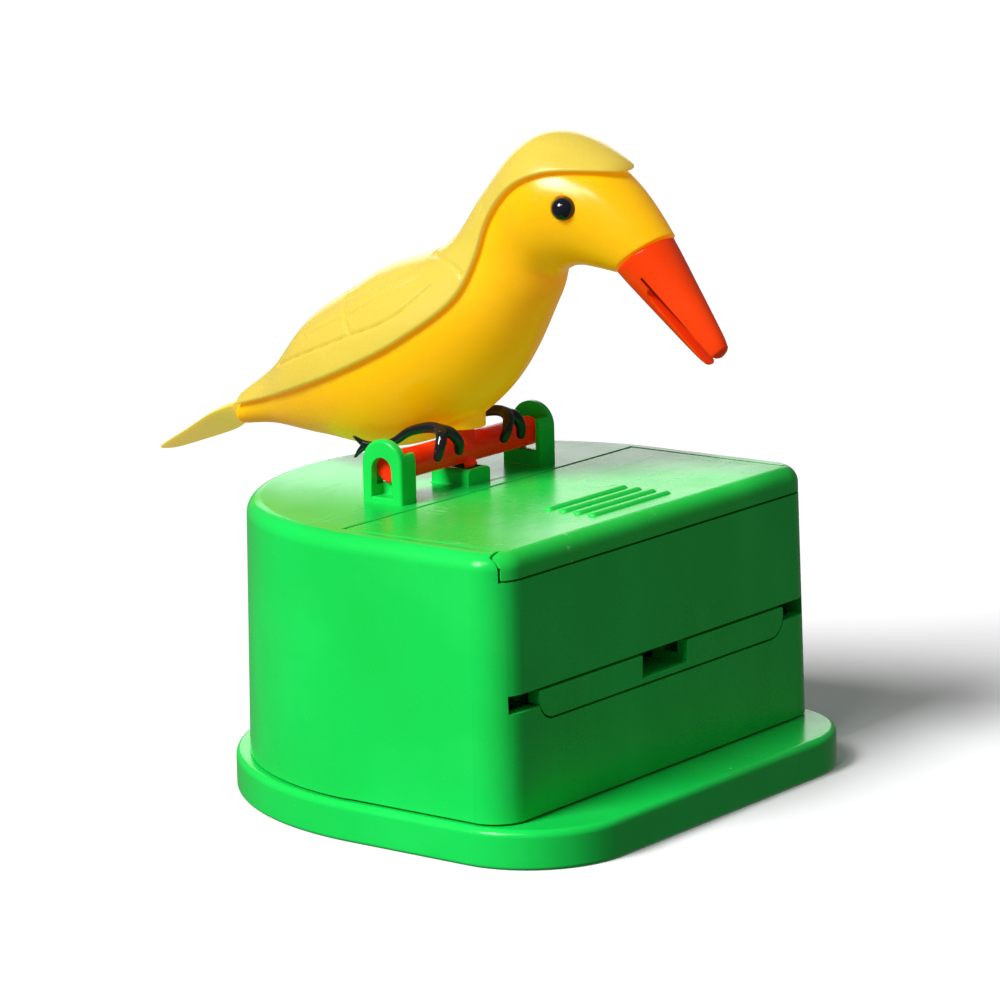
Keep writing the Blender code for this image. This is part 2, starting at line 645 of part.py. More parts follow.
def build_tray():
    """Flush front, toothpick groove, deck and the tongue that the rocker pushes."""
    f = TRAY_FRONT
    groove_back = f + TRAY_LIP + TRAY_GROOVE
    block_back = groove_back + 1.7 * MM
    deck_end = f + TRAY_DECK_LENGTH
    deck_low = TRAY_TOP - TRAY_DECK
    profile = [
        (f, TRAY_BOTTOM), (f, TRAY_TOP), (f + TRAY_LIP, TRAY_TOP), (f + TRAY_LIP, GROOVE_FLOOR),
        (groove_back, GROOVE_FLOOR), (groove_back, TRAY_TOP), (deck_end, TRAY_TOP),
        (deck_end, deck_low), (block_back, deck_low), (block_back, TRAY_BOTTOM),
    ]
    wide = TRAY_HALF_WIDTH + MM
    tray = solid("tray", prism_mesh(profile, "X", -wide, wide), "green")
    rounded = tray_front_outline(0, TRAY_TOP + MM)
    combine(tray, prism_mesh(rounded, "Y", f - MM, deck_end + MM), "INTERSECT")
    skid_front = f + BODY_WALL + TRAY_TRAVEL + 0.9 * MM
    skid_out = TRAY_HALF_WIDTH - 0.2 * MM
    for x in mirror_spans(skid_out - SKID_WIDTH, skid_out):
        skid = box_mesh(x, (skid_front, deck_end - GAP), (TRAY_BOTTOM, deck_low + 0.6 * MM))
        combine(tray, skid, "UNION")
    slot_y, slot_half = tongue_slot()
    tongue = box_mesh(
        (-TONGUE_HALF_WIDTH, TONGUE_HALF_WIDTH), (block_back - 1.2 * MM, slot_y + slot_half + 1.3 * MM),
        (TRAY_BOTTOM + 0.05 * MM, TRAY_BOTTOM + TONGUE_THICKNESS),
    )
    combine(tray, tongue, "UNION")
    web_half = TONGUE_HALF_WIDTH - 0.6 * MM
    web = box_mesh(
        (-web_half, web_half), (block_back + 1.2 * MM, deck_end - 0.6 * MM),
        (TONGUE_MID, deck_low + 0.9 * MM),
    )
    combine(tray, web, "UNION")
    gap = box_mesh(
        (-TRAY_GAP_HALF, TRAY_GAP_HALF), (f - MM, block_back + 1.0 * MM),
        (TRAY_BOTTOM + TRAY_FLOOR, TRAY_TOP + MM),
    )
    combine(tray, gap, "DIFFERENCE")
    slot = box_mesh(
        (-HUB_HALF_WIDTH - GAP, HUB_HALF_WIDTH + GAP), (slot_y - slot_half, slot_y + slot_half),
        (TRAY_BOTTOM - MM, TRAY_TOP),
    )
    combine(tray, slot, "DIFFERENCE")


def tongue_slot():
    """Centre and half-length of the tongue's slot, which holds the rocker's lower finger at rest."""
    centre = PIVOT.y + LOWER_REACH * math.sin(REST_LEAN)
    lean_room = TONGUE_THICKNESS / 2 * math.tan(REST_LEAN)
    return centre, LOWER_HALF / math.cos(REST_LEAN) + lean_room + GAP


def build_chute():
    """Hopper insert: sloped floor, back wall and the channel that guides the tray."""
    half = BODY_WIDTH / 2 - BODY_WALL - DRAFT * BODY_TOP - 2 * GAP
    low = TRAY_TOP + CHUTE_PLAY
    top = BODY_TOP - LID_PLATE - RAIL_DROP - RAIL_HEIGHT - GAP
    back_rise = low + CHUTE_SLOPE * (CHUTE_BACK - CHUTE_FRONT)
    corner_rise = CHUTE_FLOOR + low + CHUTE_SLOPE * (CHUTE_BACK - CHUTE_WALL - CHUTE_FRONT)
    profile = [
        (CHUTE_FRONT, low), (CHUTE_FRONT, low + CHUTE_FLOOR), (CHUTE_BACK - CHUTE_WALL, corner_rise),
        (CHUTE_BACK - CHUTE_WALL, top), (CHUTE_BACK, top), (CHUTE_BACK, back_rise),
    ]
    chute = solid("hopper_chute", prism_mesh(profile, "X", -half, half), "white", 0.4)
    cheek_in = TRAY_HALF_WIDTH + 2 * GAP
    cheek_back = CHUTE_BACK - 2 * MM
    cheek = [
        (CHUTE_FRONT + 0.1 * MM, CHUTE_BOTTOM), (cheek_back, CHUTE_BOTTOM),
        (cheek_back, low + 0.5 * MM + CHUTE_SLOPE * (cheek_back - CHUTE_FRONT)),
        (CHUTE_FRONT + 0.1 * MM, low + 0.5 * MM),
    ]
    ledge_top = TRAY_BOTTOM - GAP
    for x in mirror_spans(cheek_in, cheek_in + CHUTE_CHEEK):
        combine(chute, prism_mesh(cheek, "X", *x), "UNION")
    for x in mirror_spans(cheek_in - CHUTE_LEDGE, cheek_in + CHUTE_CHEEK / 2):
        ledge_y = (CHUTE_FRONT + 0.3 * MM, cheek_back - 0.2 * MM)
        ledge = box_mesh(x, ledge_y, (CHUTE_BOTTOM + 0.2 * MM, ledge_top))
        combine(chute, ledge, "UNION")


def build_perch_rod():
    """Rod along X with the drive nose below and the bird's peg above."""
    bm = bmesh.new()
    cylinder(bm, "X", PERCH, ROD_RADIUS, 2 * (EAR_OUTER - EAR_PLATE - GAP), 32)
    rod = solid("perch_rod", bm, "red", 0.25, origin=PERCH)
    nose = box_mesh(
        (-DRIVE_HALF_WIDTH, DRIVE_HALF_WIDTH),
        (-NOSE_OFFSET - NOSE_HALF, -NOSE_OFFSET + NOSE_HALF), (-NOSE_REACH, -0.5 * MM),
    )
    turn = Matrix.Translation(PERCH) @ Matrix.Rotation(-math.radians(BOW_DEG) / 2, 4, "X")
    bmesh.ops.transform(nose, matrix=turn, verts=nose.verts[:])
    combine(rod, nose, "UNION")
    peg = bmesh.new()
    cylinder(peg, "Z", PERCH + Vector((0, 0, PEG_TOP / 2)), PEG_RADIUS, PEG_TOP, 20)
    combine(rod, peg, "UNION")
    bore = bmesh.new()
    bore_top = PERCH + Vector((0, 0, PEG_TOP))
    cylinder(bore, "Z", bore_top, BIRD_SCREW_RADIUS + GAP, 2 * PEG_BORE_DEPTH, 12)
    combine(rod, bore, "DIFFERENCE")


def build_rocker():
    """Two-armed lever on the pin: finger up, finger down, and the spring's pad behind."""
    turn = Matrix.Translation(PIVOT) @ Matrix.Rotation(REST_LEAN, 4, "X")
    bm = bmesh.new()
    cylinder(bm, "X", PIVOT, HUB_RADIUS, 2 * HUB_HALF_WIDTH, 24)
    rocker = solid("rocker", bm, "white", 0.4, origin=PIVOT)
    upper = box_mesh(
        (-DRIVE_HALF_WIDTH, DRIVE_HALF_WIDTH),
        (NOSE_OFFSET - NOSE_HALF, NOSE_OFFSET + NOSE_HALF), (HUB_RADIUS / 2, FINGER_REACH),
    )
    lower = box_mesh(
        (-HUB_HALF_WIDTH + 0.1 * MM, HUB_HALF_WIDTH - 0.1 * MM), (-LOWER_HALF, LOWER_HALF),
        (-LOWER_REACH - LOWER_OVERRUN, -HUB_RADIUS / 2),
    )
    arm = box_mesh(
        (-HUB_HALF_WIDTH + 0.2 * MM, HUB_HALF_WIDTH - 0.2 * MM), (HUB_RADIUS / 2, SPRING_ARM),
        (-SPRING_ARM_HALF, SPRING_ARM_HALF),
    )
    pad = bmesh.new()
    cylinder(pad, "Z", (0, SPRING_ARM, 0), SPRING_PAD_RADIUS, 2 * SPRING_ARM_HALF - 0.2 * MM, 20)
    lean = Matrix.Rotation(math.radians(SPRING_ARM_LEAN_DEG), 4, "X")
    for piece, matrix in ((upper, turn), (lower, turn), (arm, turn @ lean), (pad, turn @ lean)):
        bmesh.ops.transform(piece, matrix=matrix, verts=piece.verts[:])
        combine(rocker, piece, "UNION")
    bore = bmesh.new()
    cylinder(bore, "X", PIVOT, PIN_RADIUS + GAP, 8 * HUB_HALF_WIDTH, 20)
    combine(rocker, bore, "DIFFERENCE")


def build_rocker_pin():
    bm = bmesh.new()
    cylinder(bm, "X", PIVOT, PIN_RADIUS, 2 * PIN_HALF_LENGTH, 20)
    solid("rocker_pin", bm, "steel", 0.25, 1.0)


def build_return_spring():
    """Compression spring between the base's post and the rocker's pad."""
    seat_y, low = spring_seat()
    per_turn = 14
    count = SPRING_TURNS * per_turn
    climb = SPRING_HEIGHT - 2 * SPRING_WIRE
    upward = Vector((0, 0, 1))
    rings = []
    for i in range(count + 1):
        angle = 2 * math.pi * i / per_turn
        out = Vector((math.cos(angle), math.sin(angle), 0))
        centre = Vector((0, seat_y, low + SPRING_WIRE + climb * i / count)) + SPRING_RADIUS * out
        ring = []
        for k in range(6):
            around = 2 * math.pi * k / 6
            ring.append(centre + SPRING_WIRE * (math.cos(around) * out + math.sin(around) * upward))
        rings.append(ring)
    bm = bmesh.new()
    loft(bm, rings)
    solid("return_spring", bm, "steel", 0.25, 1.0)


def bird_ring(position, grow, sides):
    """One elliptical section of the bird, its half sizes changed by grow."""
    back, up, height, width, lean = smooth_path(BIRD_SECTIONS, position)
    angle = math.radians(lean)
    centre = PERCH + Vector((0, back, up)) * MM
    rise = Vector((0, math.cos(angle), math.sin(angle))) * (height * MM + grow)
    side = Vector((width * MM + grow, 0, 0))
    ring = []
    for i in range(sides):
        around = 2 * math.pi * i / sides
        ring.append(centre + rise * math.cos(around) + side * math.sin(around))
    return ring


def bird_loft(grow, start=0.0, end=1.0, steps=24, sides=24):
    bm = bmesh.new()
    places = [start + (end - start) * i / steps for i in range(steps + 1)]
    loft(bm, [bird_ring(position, grow, sides) for position in places])
    return bm


def parting_outline():
    """Side outline of everything above the back shell's lower edge."""
    edge = [smooth_path(PARTING_EDGE, i / 26) for i in range(27)]
    outline = [(PERCH.y + y * MM, PERCH.z + z * MM) for y, z in edge]
    far = [(48.0, 14.0), (20.0, 50.0), (-30.0, 60.0), (-44.0, 48.0)]
    return outline + [(PERCH.y + y * MM, PERCH.z + z * MM) for y, z in far]


def beak_frame():
    """Joint centre, the direction the beak points and the direction across it, upwards."""
    joint = PERCH + Vector((0, BIRD_SECTIONS[0][0], BIRD_SECTIONS[0][1])) * MM
    drop = math.radians(BEAK_DROP_DEG)
    ahead = Vector((0, -math.cos(drop), -math.sin(drop)))
    across = Vector((0, -math.sin(drop), math.cos(drop)))
    return joint, ahead, across


def joint_normal():
    """Outward normal of the face where the beak meets the head."""
    lean = math.radians(BIRD_SECTIONS[0][4])
    return Vector((0, -math.sin(lean), math.cos(lean)))


def build_belly_shell():
    """Lower half and face: a hollow loft, open under the back shell."""
    belly = solid("belly_shell", bird_loft(0.0), "yellow", origin=PERCH)
    combine(belly, bird_loft(-SHELL_WALL, 0.12, 0.86, 18, 20), "DIFFERENCE")
    opening = box_mesh(
        (-SCREW_WAY_HALF, SCREW_WAY_HALF), (PERCH.y + 2 * MM, PERCH.y + 20 * MM),
        (PERCH.z + 13 * MM, PERCH.z + 45 * MM),
    )
    combine(belly, opening, "DIFFERENCE")
    boss = bmesh.new()
    boss_low = ROD_RADIUS + 1.2 * MM
    boss_middle = PERCH + Vector((0, 0, (boss_low + PEG_TOP) / 2))
    cylinder(boss, "Z", boss_middle, BOSS_RADIUS, PEG_TOP - boss_low, 20)
    combine(belly, boss, "UNION")
    bore = bmesh.new()
    bore_middle = PERCH + Vector((0, 0, PEG_TOP / 2))
    cylinder(bore, "Z", bore_middle, PEG_RADIUS + GAP, PEG_TOP + 4 * MM, 20)
    combine(belly, bore, "DIFFERENCE")
    saddle = bmesh.new()
    cylinder(saddle, "X", PERCH, ROD_RADIUS + GAP, 60 * MM, 32)
    combine(belly, saddle, "DIFFERENCE")
    joint, ahead, _ = beak_frame()
    socket = bmesh.new()
    turn = ahead.to_track_quat("Z", "X").to_matrix().to_4x4()
    cylinder(socket, "Z", (0, 0, 0), BEAK_PLUG_HALF + GAP, 2 * (BEAK_PLUG + GAP), 20)
    bmesh.ops.transform(socket, matrix=Matrix.Translation(joint) @ turn, verts=socket.verts[:])
    combine(belly, socket, "DIFFERENCE")
    for side in (-1, 1):
        eye = eye_mesh(side, EYE_RADIUS + GAP)
        combine(belly, eye, "DIFFERENCE")


def build_back_shell():
    """Crown, nape and wings: a thin skin over the belly shell, cut along the parting edge."""
    outer = bird_loft(GAP + BACK_SKIN, 0.055, 0.985, 24, 28)
    back = solid("back_shell", outer, "pale_yellow", origin=PERCH)
    combine(back, bird_loft(GAP, 0.0, 1.0, 26, 28), "DIFFERENCE")
    combine(back, prism_mesh(parting_outline(), "X", -40 * MM, 40 * MM), "INTERSECT")


def build_beak():
    """Forked beak: a tapering body with a plug behind and one slit from side to side."""
    joint, ahead, across = beak_frame()
    right = Vector((1, 0, 0))
    rings = []
    for along, height, width in BEAK_STAGES:
        centre = joint + ahead * (BEAK_LENGTH * along)
        ring = []
        for i in range(20):
            around = 2 * math.pi * i / 20
            rise = across * (BEAK_BASE_HALF * height * math.cos(around))
            ring.append(centre + rise + right * (BEAK_BASE_HALF * width * math.sin(around)))
        rings.append(ring)
    bm = bmesh.new()
    loft(bm, rings)
    beak = solid("beak", bm, "orange", 0.3, origin=PERCH)
    trim = box_mesh((-20 * MM, 20 * MM), (-20 * MM, 20 * MM), (-30 * MM, GAP))
    face = joint_normal().to_track_quat("Z", "X").to_matrix().to_4x4()
    bmesh.ops.transform(trim, matrix=Matrix.Translation(joint) @ face, verts=trim.verts[:])
    combine(beak, trim, "DIFFERENCE")
    turn = Matrix.Translation(joint) @ ahead.to_track_quat("Z", "X").to_matrix().to_4x4()
    plug = bmesh.new()
    plug_middle = (0, 0, 1.5 * MM - BEAK_PLUG / 2)
    cylinder(plug, "Z", plug_middle, BEAK_PLUG_HALF, BEAK_PLUG + 3 * MM, 20)
    bmesh.ops.transform(plug, matrix=turn, verts=plug.verts[:])
    combine(beak, plug, "UNION")
    slit = bmesh.new()
    past_tips = BEAK_LENGTH + 3 * MM
    box(slit, (-10 * MM, 10 * MM), (-SLIT_HALF, SLIT_HALF), (SLIT_START, past_tips))
    basis = Matrix((right, across, ahead)).transposed().to_4x4()
    place_slit = Matrix.Translation(joint - across * SLIT_OFFSET) @ basis
    bmesh.ops.transform(slit, matrix=place_slit, verts=slit.verts[:])
    combine(beak, slit, "DIFFERENCE")


def build_tail():
    """Keeled leaf blade set into the end of the body."""
    rings = []
    for back, top, width, keel in TAIL_SECTIONS:
        point = PERCH + Vector((0, back, top)) * MM
        rings.append([point + Vector((x * width, 0, z * keel)) * MM for x, z in TAIL_SHAPE])
    bm = bmesh.new()
    loft(bm, rings)
    solid("tail", bm, "pale_yellow", 0.35, origin=PERCH)


def eye_mesh(side, radius):
    centre = PERCH + Vector((side * EYE_SIDE, -EYE_AHEAD, EYE_RISE))
    bm = bmesh.new()
    bmesh.ops.create_uvsphere(
        bm, u_segments=20, v_segments=12, radius=radius, matrix=Matrix.Translation(centre),
    )
    return bm


def build_eyes():
    for name, side in (("eye_left", -1), ("eye_right", 1)):
        solid(name, eye_mesh(side, EYE_RADIUS), "black", 0.08, origin=PERCH)


def build_bird_screw():
    top = PERCH + Vector((0, 0, PEG_TOP))
    bm = bmesh.new()
    head_middle = top + Vector((0, 0, GAP + BIRD_SCREW_HEIGHT / 2))
    cylinder(bm, "Z", head_middle, BIRD_SCREW_HEAD, BIRD_SCREW_HEIGHT, 20)
    screw = solid("bird_screw", bm, "steel", 0.3, 1.0, origin=PERCH)
    shank = bmesh.new()
    cylinder(shank, "Z", top - Vector((0, 0, 1.4 * MM)), BIRD_SCREW_RADIUS, 4.8 * MM, 12)
    combine(screw, shank, "UNION")


def build_feet():
    """Black wire-like feet: a saddle over the rod, two front toes and a hind claw."""
    inner = ROD_RADIUS + GAP
    for name, side in (("foot_left", -1), ("foot_right", 1)):
        x = side * FOOT_OFFSET
        bm = bmesh.new()
        outline = arc((PERCH.y, PERCH.z), inner + FOOT_THICKNESS, 35, 150, 10)
        outline += arc((PERCH.y, PERCH.z), inner, 150, 35, 10)
        prism(bm, outline, "X", x - FOOT_HALF_WIDTH, x + FOOT_HALF_WIDTH)
        foot = solid(name, bm, "black", 0.15, origin=PERCH)
        for spread in (-1, 1):
            toe = bmesh.new()
            toe_inner = inner / math.cos(math.radians(TOE_SPREAD_DEG))
            toe_outline = arc((PERCH.y, PERCH.z), inner + TOE_THICKNESS, 140, 205, 6)
            toe_outline += arc((PERCH.y, PERCH.z), toe_inner, 205, 140, 6)
            prism(toe, toe_outline, "X", x - TOE_HALF, x + TOE_HALF)
            hinge = Vector((x, PERCH.y, PERCH.z + inner + MM))
            swing = Matrix.Rotation(math.radians(spread * TOE_SPREAD_DEG), 4, "Z")
            turn = Matrix.Translation(hinge) @ swing @ Matrix.Translation(-hinge)
            bmesh.ops.transform(toe, matrix=turn, verts=toe.verts[:])
            combine(foot, toe, "UNION")
        points = [(PERCH.y + y * MM, PERCH.z + z * MM) for y, z in CLAW_OUTLINE]
        combine(foot, prism_mesh(points, "X", x - CLAW_HALF, x + CLAW_HALF), "UNION")


def main():
    clear_scene()
    build_base_plate()
    build_base_screws()
    build_case_shell()
    build_lid()
    build_tray()
    build_chute()
    build_perch_rod()
    build_rocker()
    build_rocker_pin()
    build_return_spring()
    build_belly_shell()
    build_back_shell()
    build_beak()
    build_tail()
    build_eyes()
    build_bird_screw()
    build_feet()
    bpy.context.view_layer.update()


main()
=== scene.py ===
"""Toothpick dispenser with a bowing bird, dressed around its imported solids.

Units are metres in the solids' own frame: +Z is up and the toothpick slot faces -Y. Sizes that
end in _mm are millimetres. Each sub-assembly is a class that models its mouldings in full
detail, and each finish is a frozen dataclass that builds its own node tree.
"""
import json
import logging
import math
from dataclasses import dataclass, field
from enum import Enum
from typing import Iterable, Sequence

import bmesh
import bpy
from bmesh.types import BMEdge, BMesh, BMVert
from bpy.types import Material, Node, NodeSocket, NodeTree, Object
from mathutils import Matrix, Vector


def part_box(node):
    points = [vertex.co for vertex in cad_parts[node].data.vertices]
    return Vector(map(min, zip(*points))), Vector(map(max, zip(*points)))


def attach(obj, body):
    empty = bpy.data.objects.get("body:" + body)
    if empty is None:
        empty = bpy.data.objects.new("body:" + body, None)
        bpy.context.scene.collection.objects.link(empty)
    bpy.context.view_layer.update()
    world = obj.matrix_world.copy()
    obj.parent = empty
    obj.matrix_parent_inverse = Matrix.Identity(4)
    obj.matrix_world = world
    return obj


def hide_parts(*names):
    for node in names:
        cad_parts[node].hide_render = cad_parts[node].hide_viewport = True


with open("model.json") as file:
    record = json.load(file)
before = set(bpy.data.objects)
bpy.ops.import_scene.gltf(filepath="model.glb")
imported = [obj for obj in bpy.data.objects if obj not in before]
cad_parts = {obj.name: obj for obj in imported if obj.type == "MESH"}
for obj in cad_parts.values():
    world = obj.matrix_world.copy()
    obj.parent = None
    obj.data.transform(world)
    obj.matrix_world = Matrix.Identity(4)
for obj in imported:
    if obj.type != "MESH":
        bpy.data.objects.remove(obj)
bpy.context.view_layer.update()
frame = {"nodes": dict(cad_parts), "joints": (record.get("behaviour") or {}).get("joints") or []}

MM = 0.001
GAP = 0.3 * MM
MERGE = 0.002 * MM
FLAT_DEG = 0.4
CUT_PAST = 5 * MM
LOG = logging.getLogger("dispenser")

Colour = tuple[float, float, float]
Point2 = tuple[float, float]


class Axis(Enum):
    """Direction of a prism or a round bar."""

    X = 0
    Y = 1
    Z = 2


class Cut(Enum):
    """How a tool solid changes a moulding."""

    ADD = "UNION"
    REMOVE = "DIFFERENCE"
    KEEP = "INTERSECT"


class Sum(Enum):
    """How two node values are put together."""

    PLUS = "ADD"
    TIMES = "MULTIPLY"


class Body(Enum):
    """Moving bodies of the mechanism."""

    CASE = "case"
    LID = "lid"
    BIRD = "bird"
    TRAY = "tray"


# ---------------------------------------------------------------------------------------------
# Outlines and meshes
# ---------------------------------------------------------------------------------------------


def arc(centre: Point2, radius: float, start_deg: float, end_deg: float,
        steps: int) -> list[Point2]:
    """Points on a circle, both ends included.

    Args:
        centre: Centre in the outline's two coordinates.
        radius: Radius of the circle.
        start_deg: Angle of the first point.
        end_deg: Angle of the last point.
        steps: Number of equal steps.

    Returns:
        The points in order.
    """
    angles = [math.radians(start_deg + (end_deg - start_deg) * i / steps) for i in range(steps + 1)]
    return [(centre[0] + radius * math.cos(a), centre[1] + radius * math.sin(a)) for a in angles]


def smooth_path(points: Sequence[Sequence[float]], position: float) -> list[float]:
    """Catmull-Rom value along a row of points.

    Args:
        points: The points, of any number of coordinates.
        position: From 0 at the first point to 1 at the last.

    Returns:
        The coordinates at that position.
    """
    scaled = position * (len(points) - 1)
    index = min(int(scaled), len(points) - 2)
    t = scaled - index
    before = points[max(index - 1, 0)]
    after = points[min(index + 2, len(points) - 1)]
    values = []
    for a, b, c, d in zip(before, points[index], points[index + 1], after):
        square = (2 * a - 5 * b + 4 * c - d) * t**2
        cube = (3 * b - a - 3 * c + d) * t**3
        values.append(0.5 * (2 * b + (c - a) * t + square + cube))
    return values


def place(axis: Axis, along: float, first: float, second: float) -> Vector:
    """Point from its coordinate along an axis and its two others, kept in X, Y, Z order."""
    coordinates = [first, second]
    coordinates.insert(axis.value, along)
    return Vector(coordinates)


def prism(outline: Sequence[Point2], axis: Axis, low: float, high: float) -> BMesh:
    """Extrude a closed outline along an axis.

    Args:
        outline: Corners in the two other coordinates.
        axis: Direction of the extrusion.
        low: Where it starts.
        high: Where it ends.

    Returns:
        The closed prism.
    """
    bm = bmesh.new()
    face = bm.faces.new([bm.verts.new(place(axis, low, *point)) for point in outline])
    extruded = bmesh.ops.extrude_face_region(bm, geom=[face])["geom"]
    moved = [item for item in extruded if isinstance(item, BMVert)]
    bmesh.ops.translate(bm, verts=moved, vec=place(axis, high - low, 0.0, 0.0))
    bmesh.ops.recalc_face_normals(bm, faces=bm.faces[:])
    return bm


def box(x: Point2, y: Point2, z: Point2) -> BMesh:
    """Box given its low and high coordinate on each axis."""
    bm = bmesh.new()
    size = Vector((x[1] - x[0], y[1] - y[0], z[1] - z[0]))
    centre = Vector((x[0] + x[1], y[0] + y[1], z[0] + z[1])) / 2
    matrix = Matrix.Translation(centre) @ Matrix.Diagonal((*size, 1.0))
    bmesh.ops.create_cube(bm, size=1.0, matrix=matrix)
    return bm


def bar(axis: Axis, centre: Vector, radius: float, length: float, sides: int = 64) -> BMesh:
    """Round bar centred on a point.

    Args:
        axis: Direction of its length.
        centre: Middle of the bar.
        radius: Its radius.
        length: Its length.
        sides: Number of faces round it.

    Returns:
        The closed bar.
    """
    turns = {
        Axis.X: Matrix.Rotation(math.pi / 2, 4, "Y"),
        Axis.Y: Matrix.Rotation(-math.pi / 2, 4, "X"),
        Axis.Z: Matrix.Identity(4),
    }
    bm = bmesh.new()
    matrix = Matrix.Translation(centre) @ turns[axis]
    bmesh.ops.create_cone(
        bm, cap_ends=True, segments=sides, radius1=radius, radius2=radius, depth=length,
        matrix=matrix,
    )
    return bm


def ball(centre: Vector, radius: float) -> BMesh:
    """Fine sphere about a point."""
    bm = bmesh.new()
    matrix = Matrix.Translation(centre)
    bmesh.ops.create_uvsphere(bm, u_segments=48, v_segments=32, radius=radius, matrix=matrix)
    return bm


def loft(rings: Sequence[Sequence[Vector]]) -> BMesh:
    """Bridge closed rings of points in order and cap both ends.

    Args:
        rings: Rings with the same number of points, from one end to the other.

    Returns:
        The closed mesh.
    """
    bm = bmesh.new()
    loops: list[tuple[list[BMVert], list[BMEdge]]] = []
    for ring in rings:
        verts = [bm.verts.new(point) for point in ring]
        edges = [bm.edges.new((verts[i - 1], verts[i])) for i in range(len(verts))]
        loops.append((verts, edges))
    for (_, near), (_, far) in zip(loops, loops[1:]):
        bmesh.ops.bridge_loops(bm, edges=near + far)
    for verts, _ in (loops[0], loops[-1]):
        bm.faces.new(verts)
    bmesh.ops.recalc_face_normals(bm, faces=bm.faces[:])
    return bm


def moved(bm: BMesh, matrix: Matrix) -> BMesh:
    """The same mesh after a transform."""
    bmesh.ops.transform(bm, matrix=matrix, verts=bm.verts[:])
    return bm


def mirror_spans(low: float, high: float) -> list[Point2]:
    """A span of X on each side of the middle."""
    return [(-high, -low), (low, high)]


def round_edges(bm: BMesh, width: float, segments: int = 3, least_deg: float = 35.0,
                least_mm: float = 0.0) -> BMesh:
    """Round every edge that is sharp and long enough.

    Args:
        bm: The mesh, changed in place.
        width: Width of the rounding.
        segments: Faces across it.
        least_deg: Smallest angle between two faces that is rounded.
        least_mm: Length of the shortest edge that is rounded.

    Returns:
        The same mesh.
    """
    sharp = []
    for edge in bm.edges:
        if len(edge.link_faces) == 2 and edge.calc_length() >= least_mm * MM:
            if edge.calc_face_angle() > math.radians(least_deg):
                sharp.append(edge)
    bmesh.ops.bevel(
        bm, geom=sharp, offset=width, offset_type="OFFSET", segments=segments, profile=0.5,
        affect="EDGES", material=-1, clamp_overlap=False,
    )
    return bm


def temporary(name: str, bm: BMesh) -> Object:
    """Scene object that holds a mesh while modifiers are worked out; frees the bmesh."""
    mesh = bpy.data.meshes.new(name)
    bm.to_mesh(mesh)
    bm.free()
    obj = bpy.data.objects.new(name, mesh)
    bpy.context.scene.collection.objects.link(obj)
    return obj


def add_cut(target: Object, cut: Cut, solid: BMesh) -> Object:
    """Give an object a cut by a solid.

    Args:
        target: The object that is changed.
        cut: What the solid does to it.
        solid: The tool solid, freed here.

    Returns:
        The tool's object.
    """
    tool = temporary("tool", solid)
    modifier = target.modifiers.new("cut", "BOOLEAN")
    modifier.operation = cut.value
    modifier.solver = "EXACT"
    modifier.object = tool
    return tool


def worked_out(obj: Object, tools: Sequence[Object]) -> BMesh:
    """Mesh of an object after its modifiers; removes the object and its tools."""
    graph = bpy.context.evaluated_depsgraph_get()
    bm = bmesh.new()
    bm.from_object(obj, graph)
    for spent in (obj, *tools):
        bpy.data.objects.remove(spent, do_unlink=True)
    return bm


def carve(base: BMesh, steps: Iterable[tuple[Cut, BMesh]]) -> BMesh:
    """Add, remove or keep solids in turn.

    Args:
        base: The solid to start from.
        steps: Each tool solid with what it does.

    Returns:
        The finished solid, its flat faces merged.
    """
    target = temporary("carved", base)
    tools = [add_cut(target, cut, solid) for cut, solid in steps]
    bm = worked_out(target, tools)
    bmesh.ops.remove_doubles(bm, verts=bm.verts[:], dist=MERGE)
    flat = math.radians(FLAT_DEG)
    bmesh.ops.dissolve_limit(bm, angle_limit=flat, verts=bm.verts[:], edges=bm.edges[:])
    bmesh.ops.dissolve_degenerate(bm, dist=2 * MERGE, edges=bm.edges[:])
    return bm


# ---------------------------------------------------------------------------------------------
# Finishes
# ---------------------------------------------------------------------------------------------


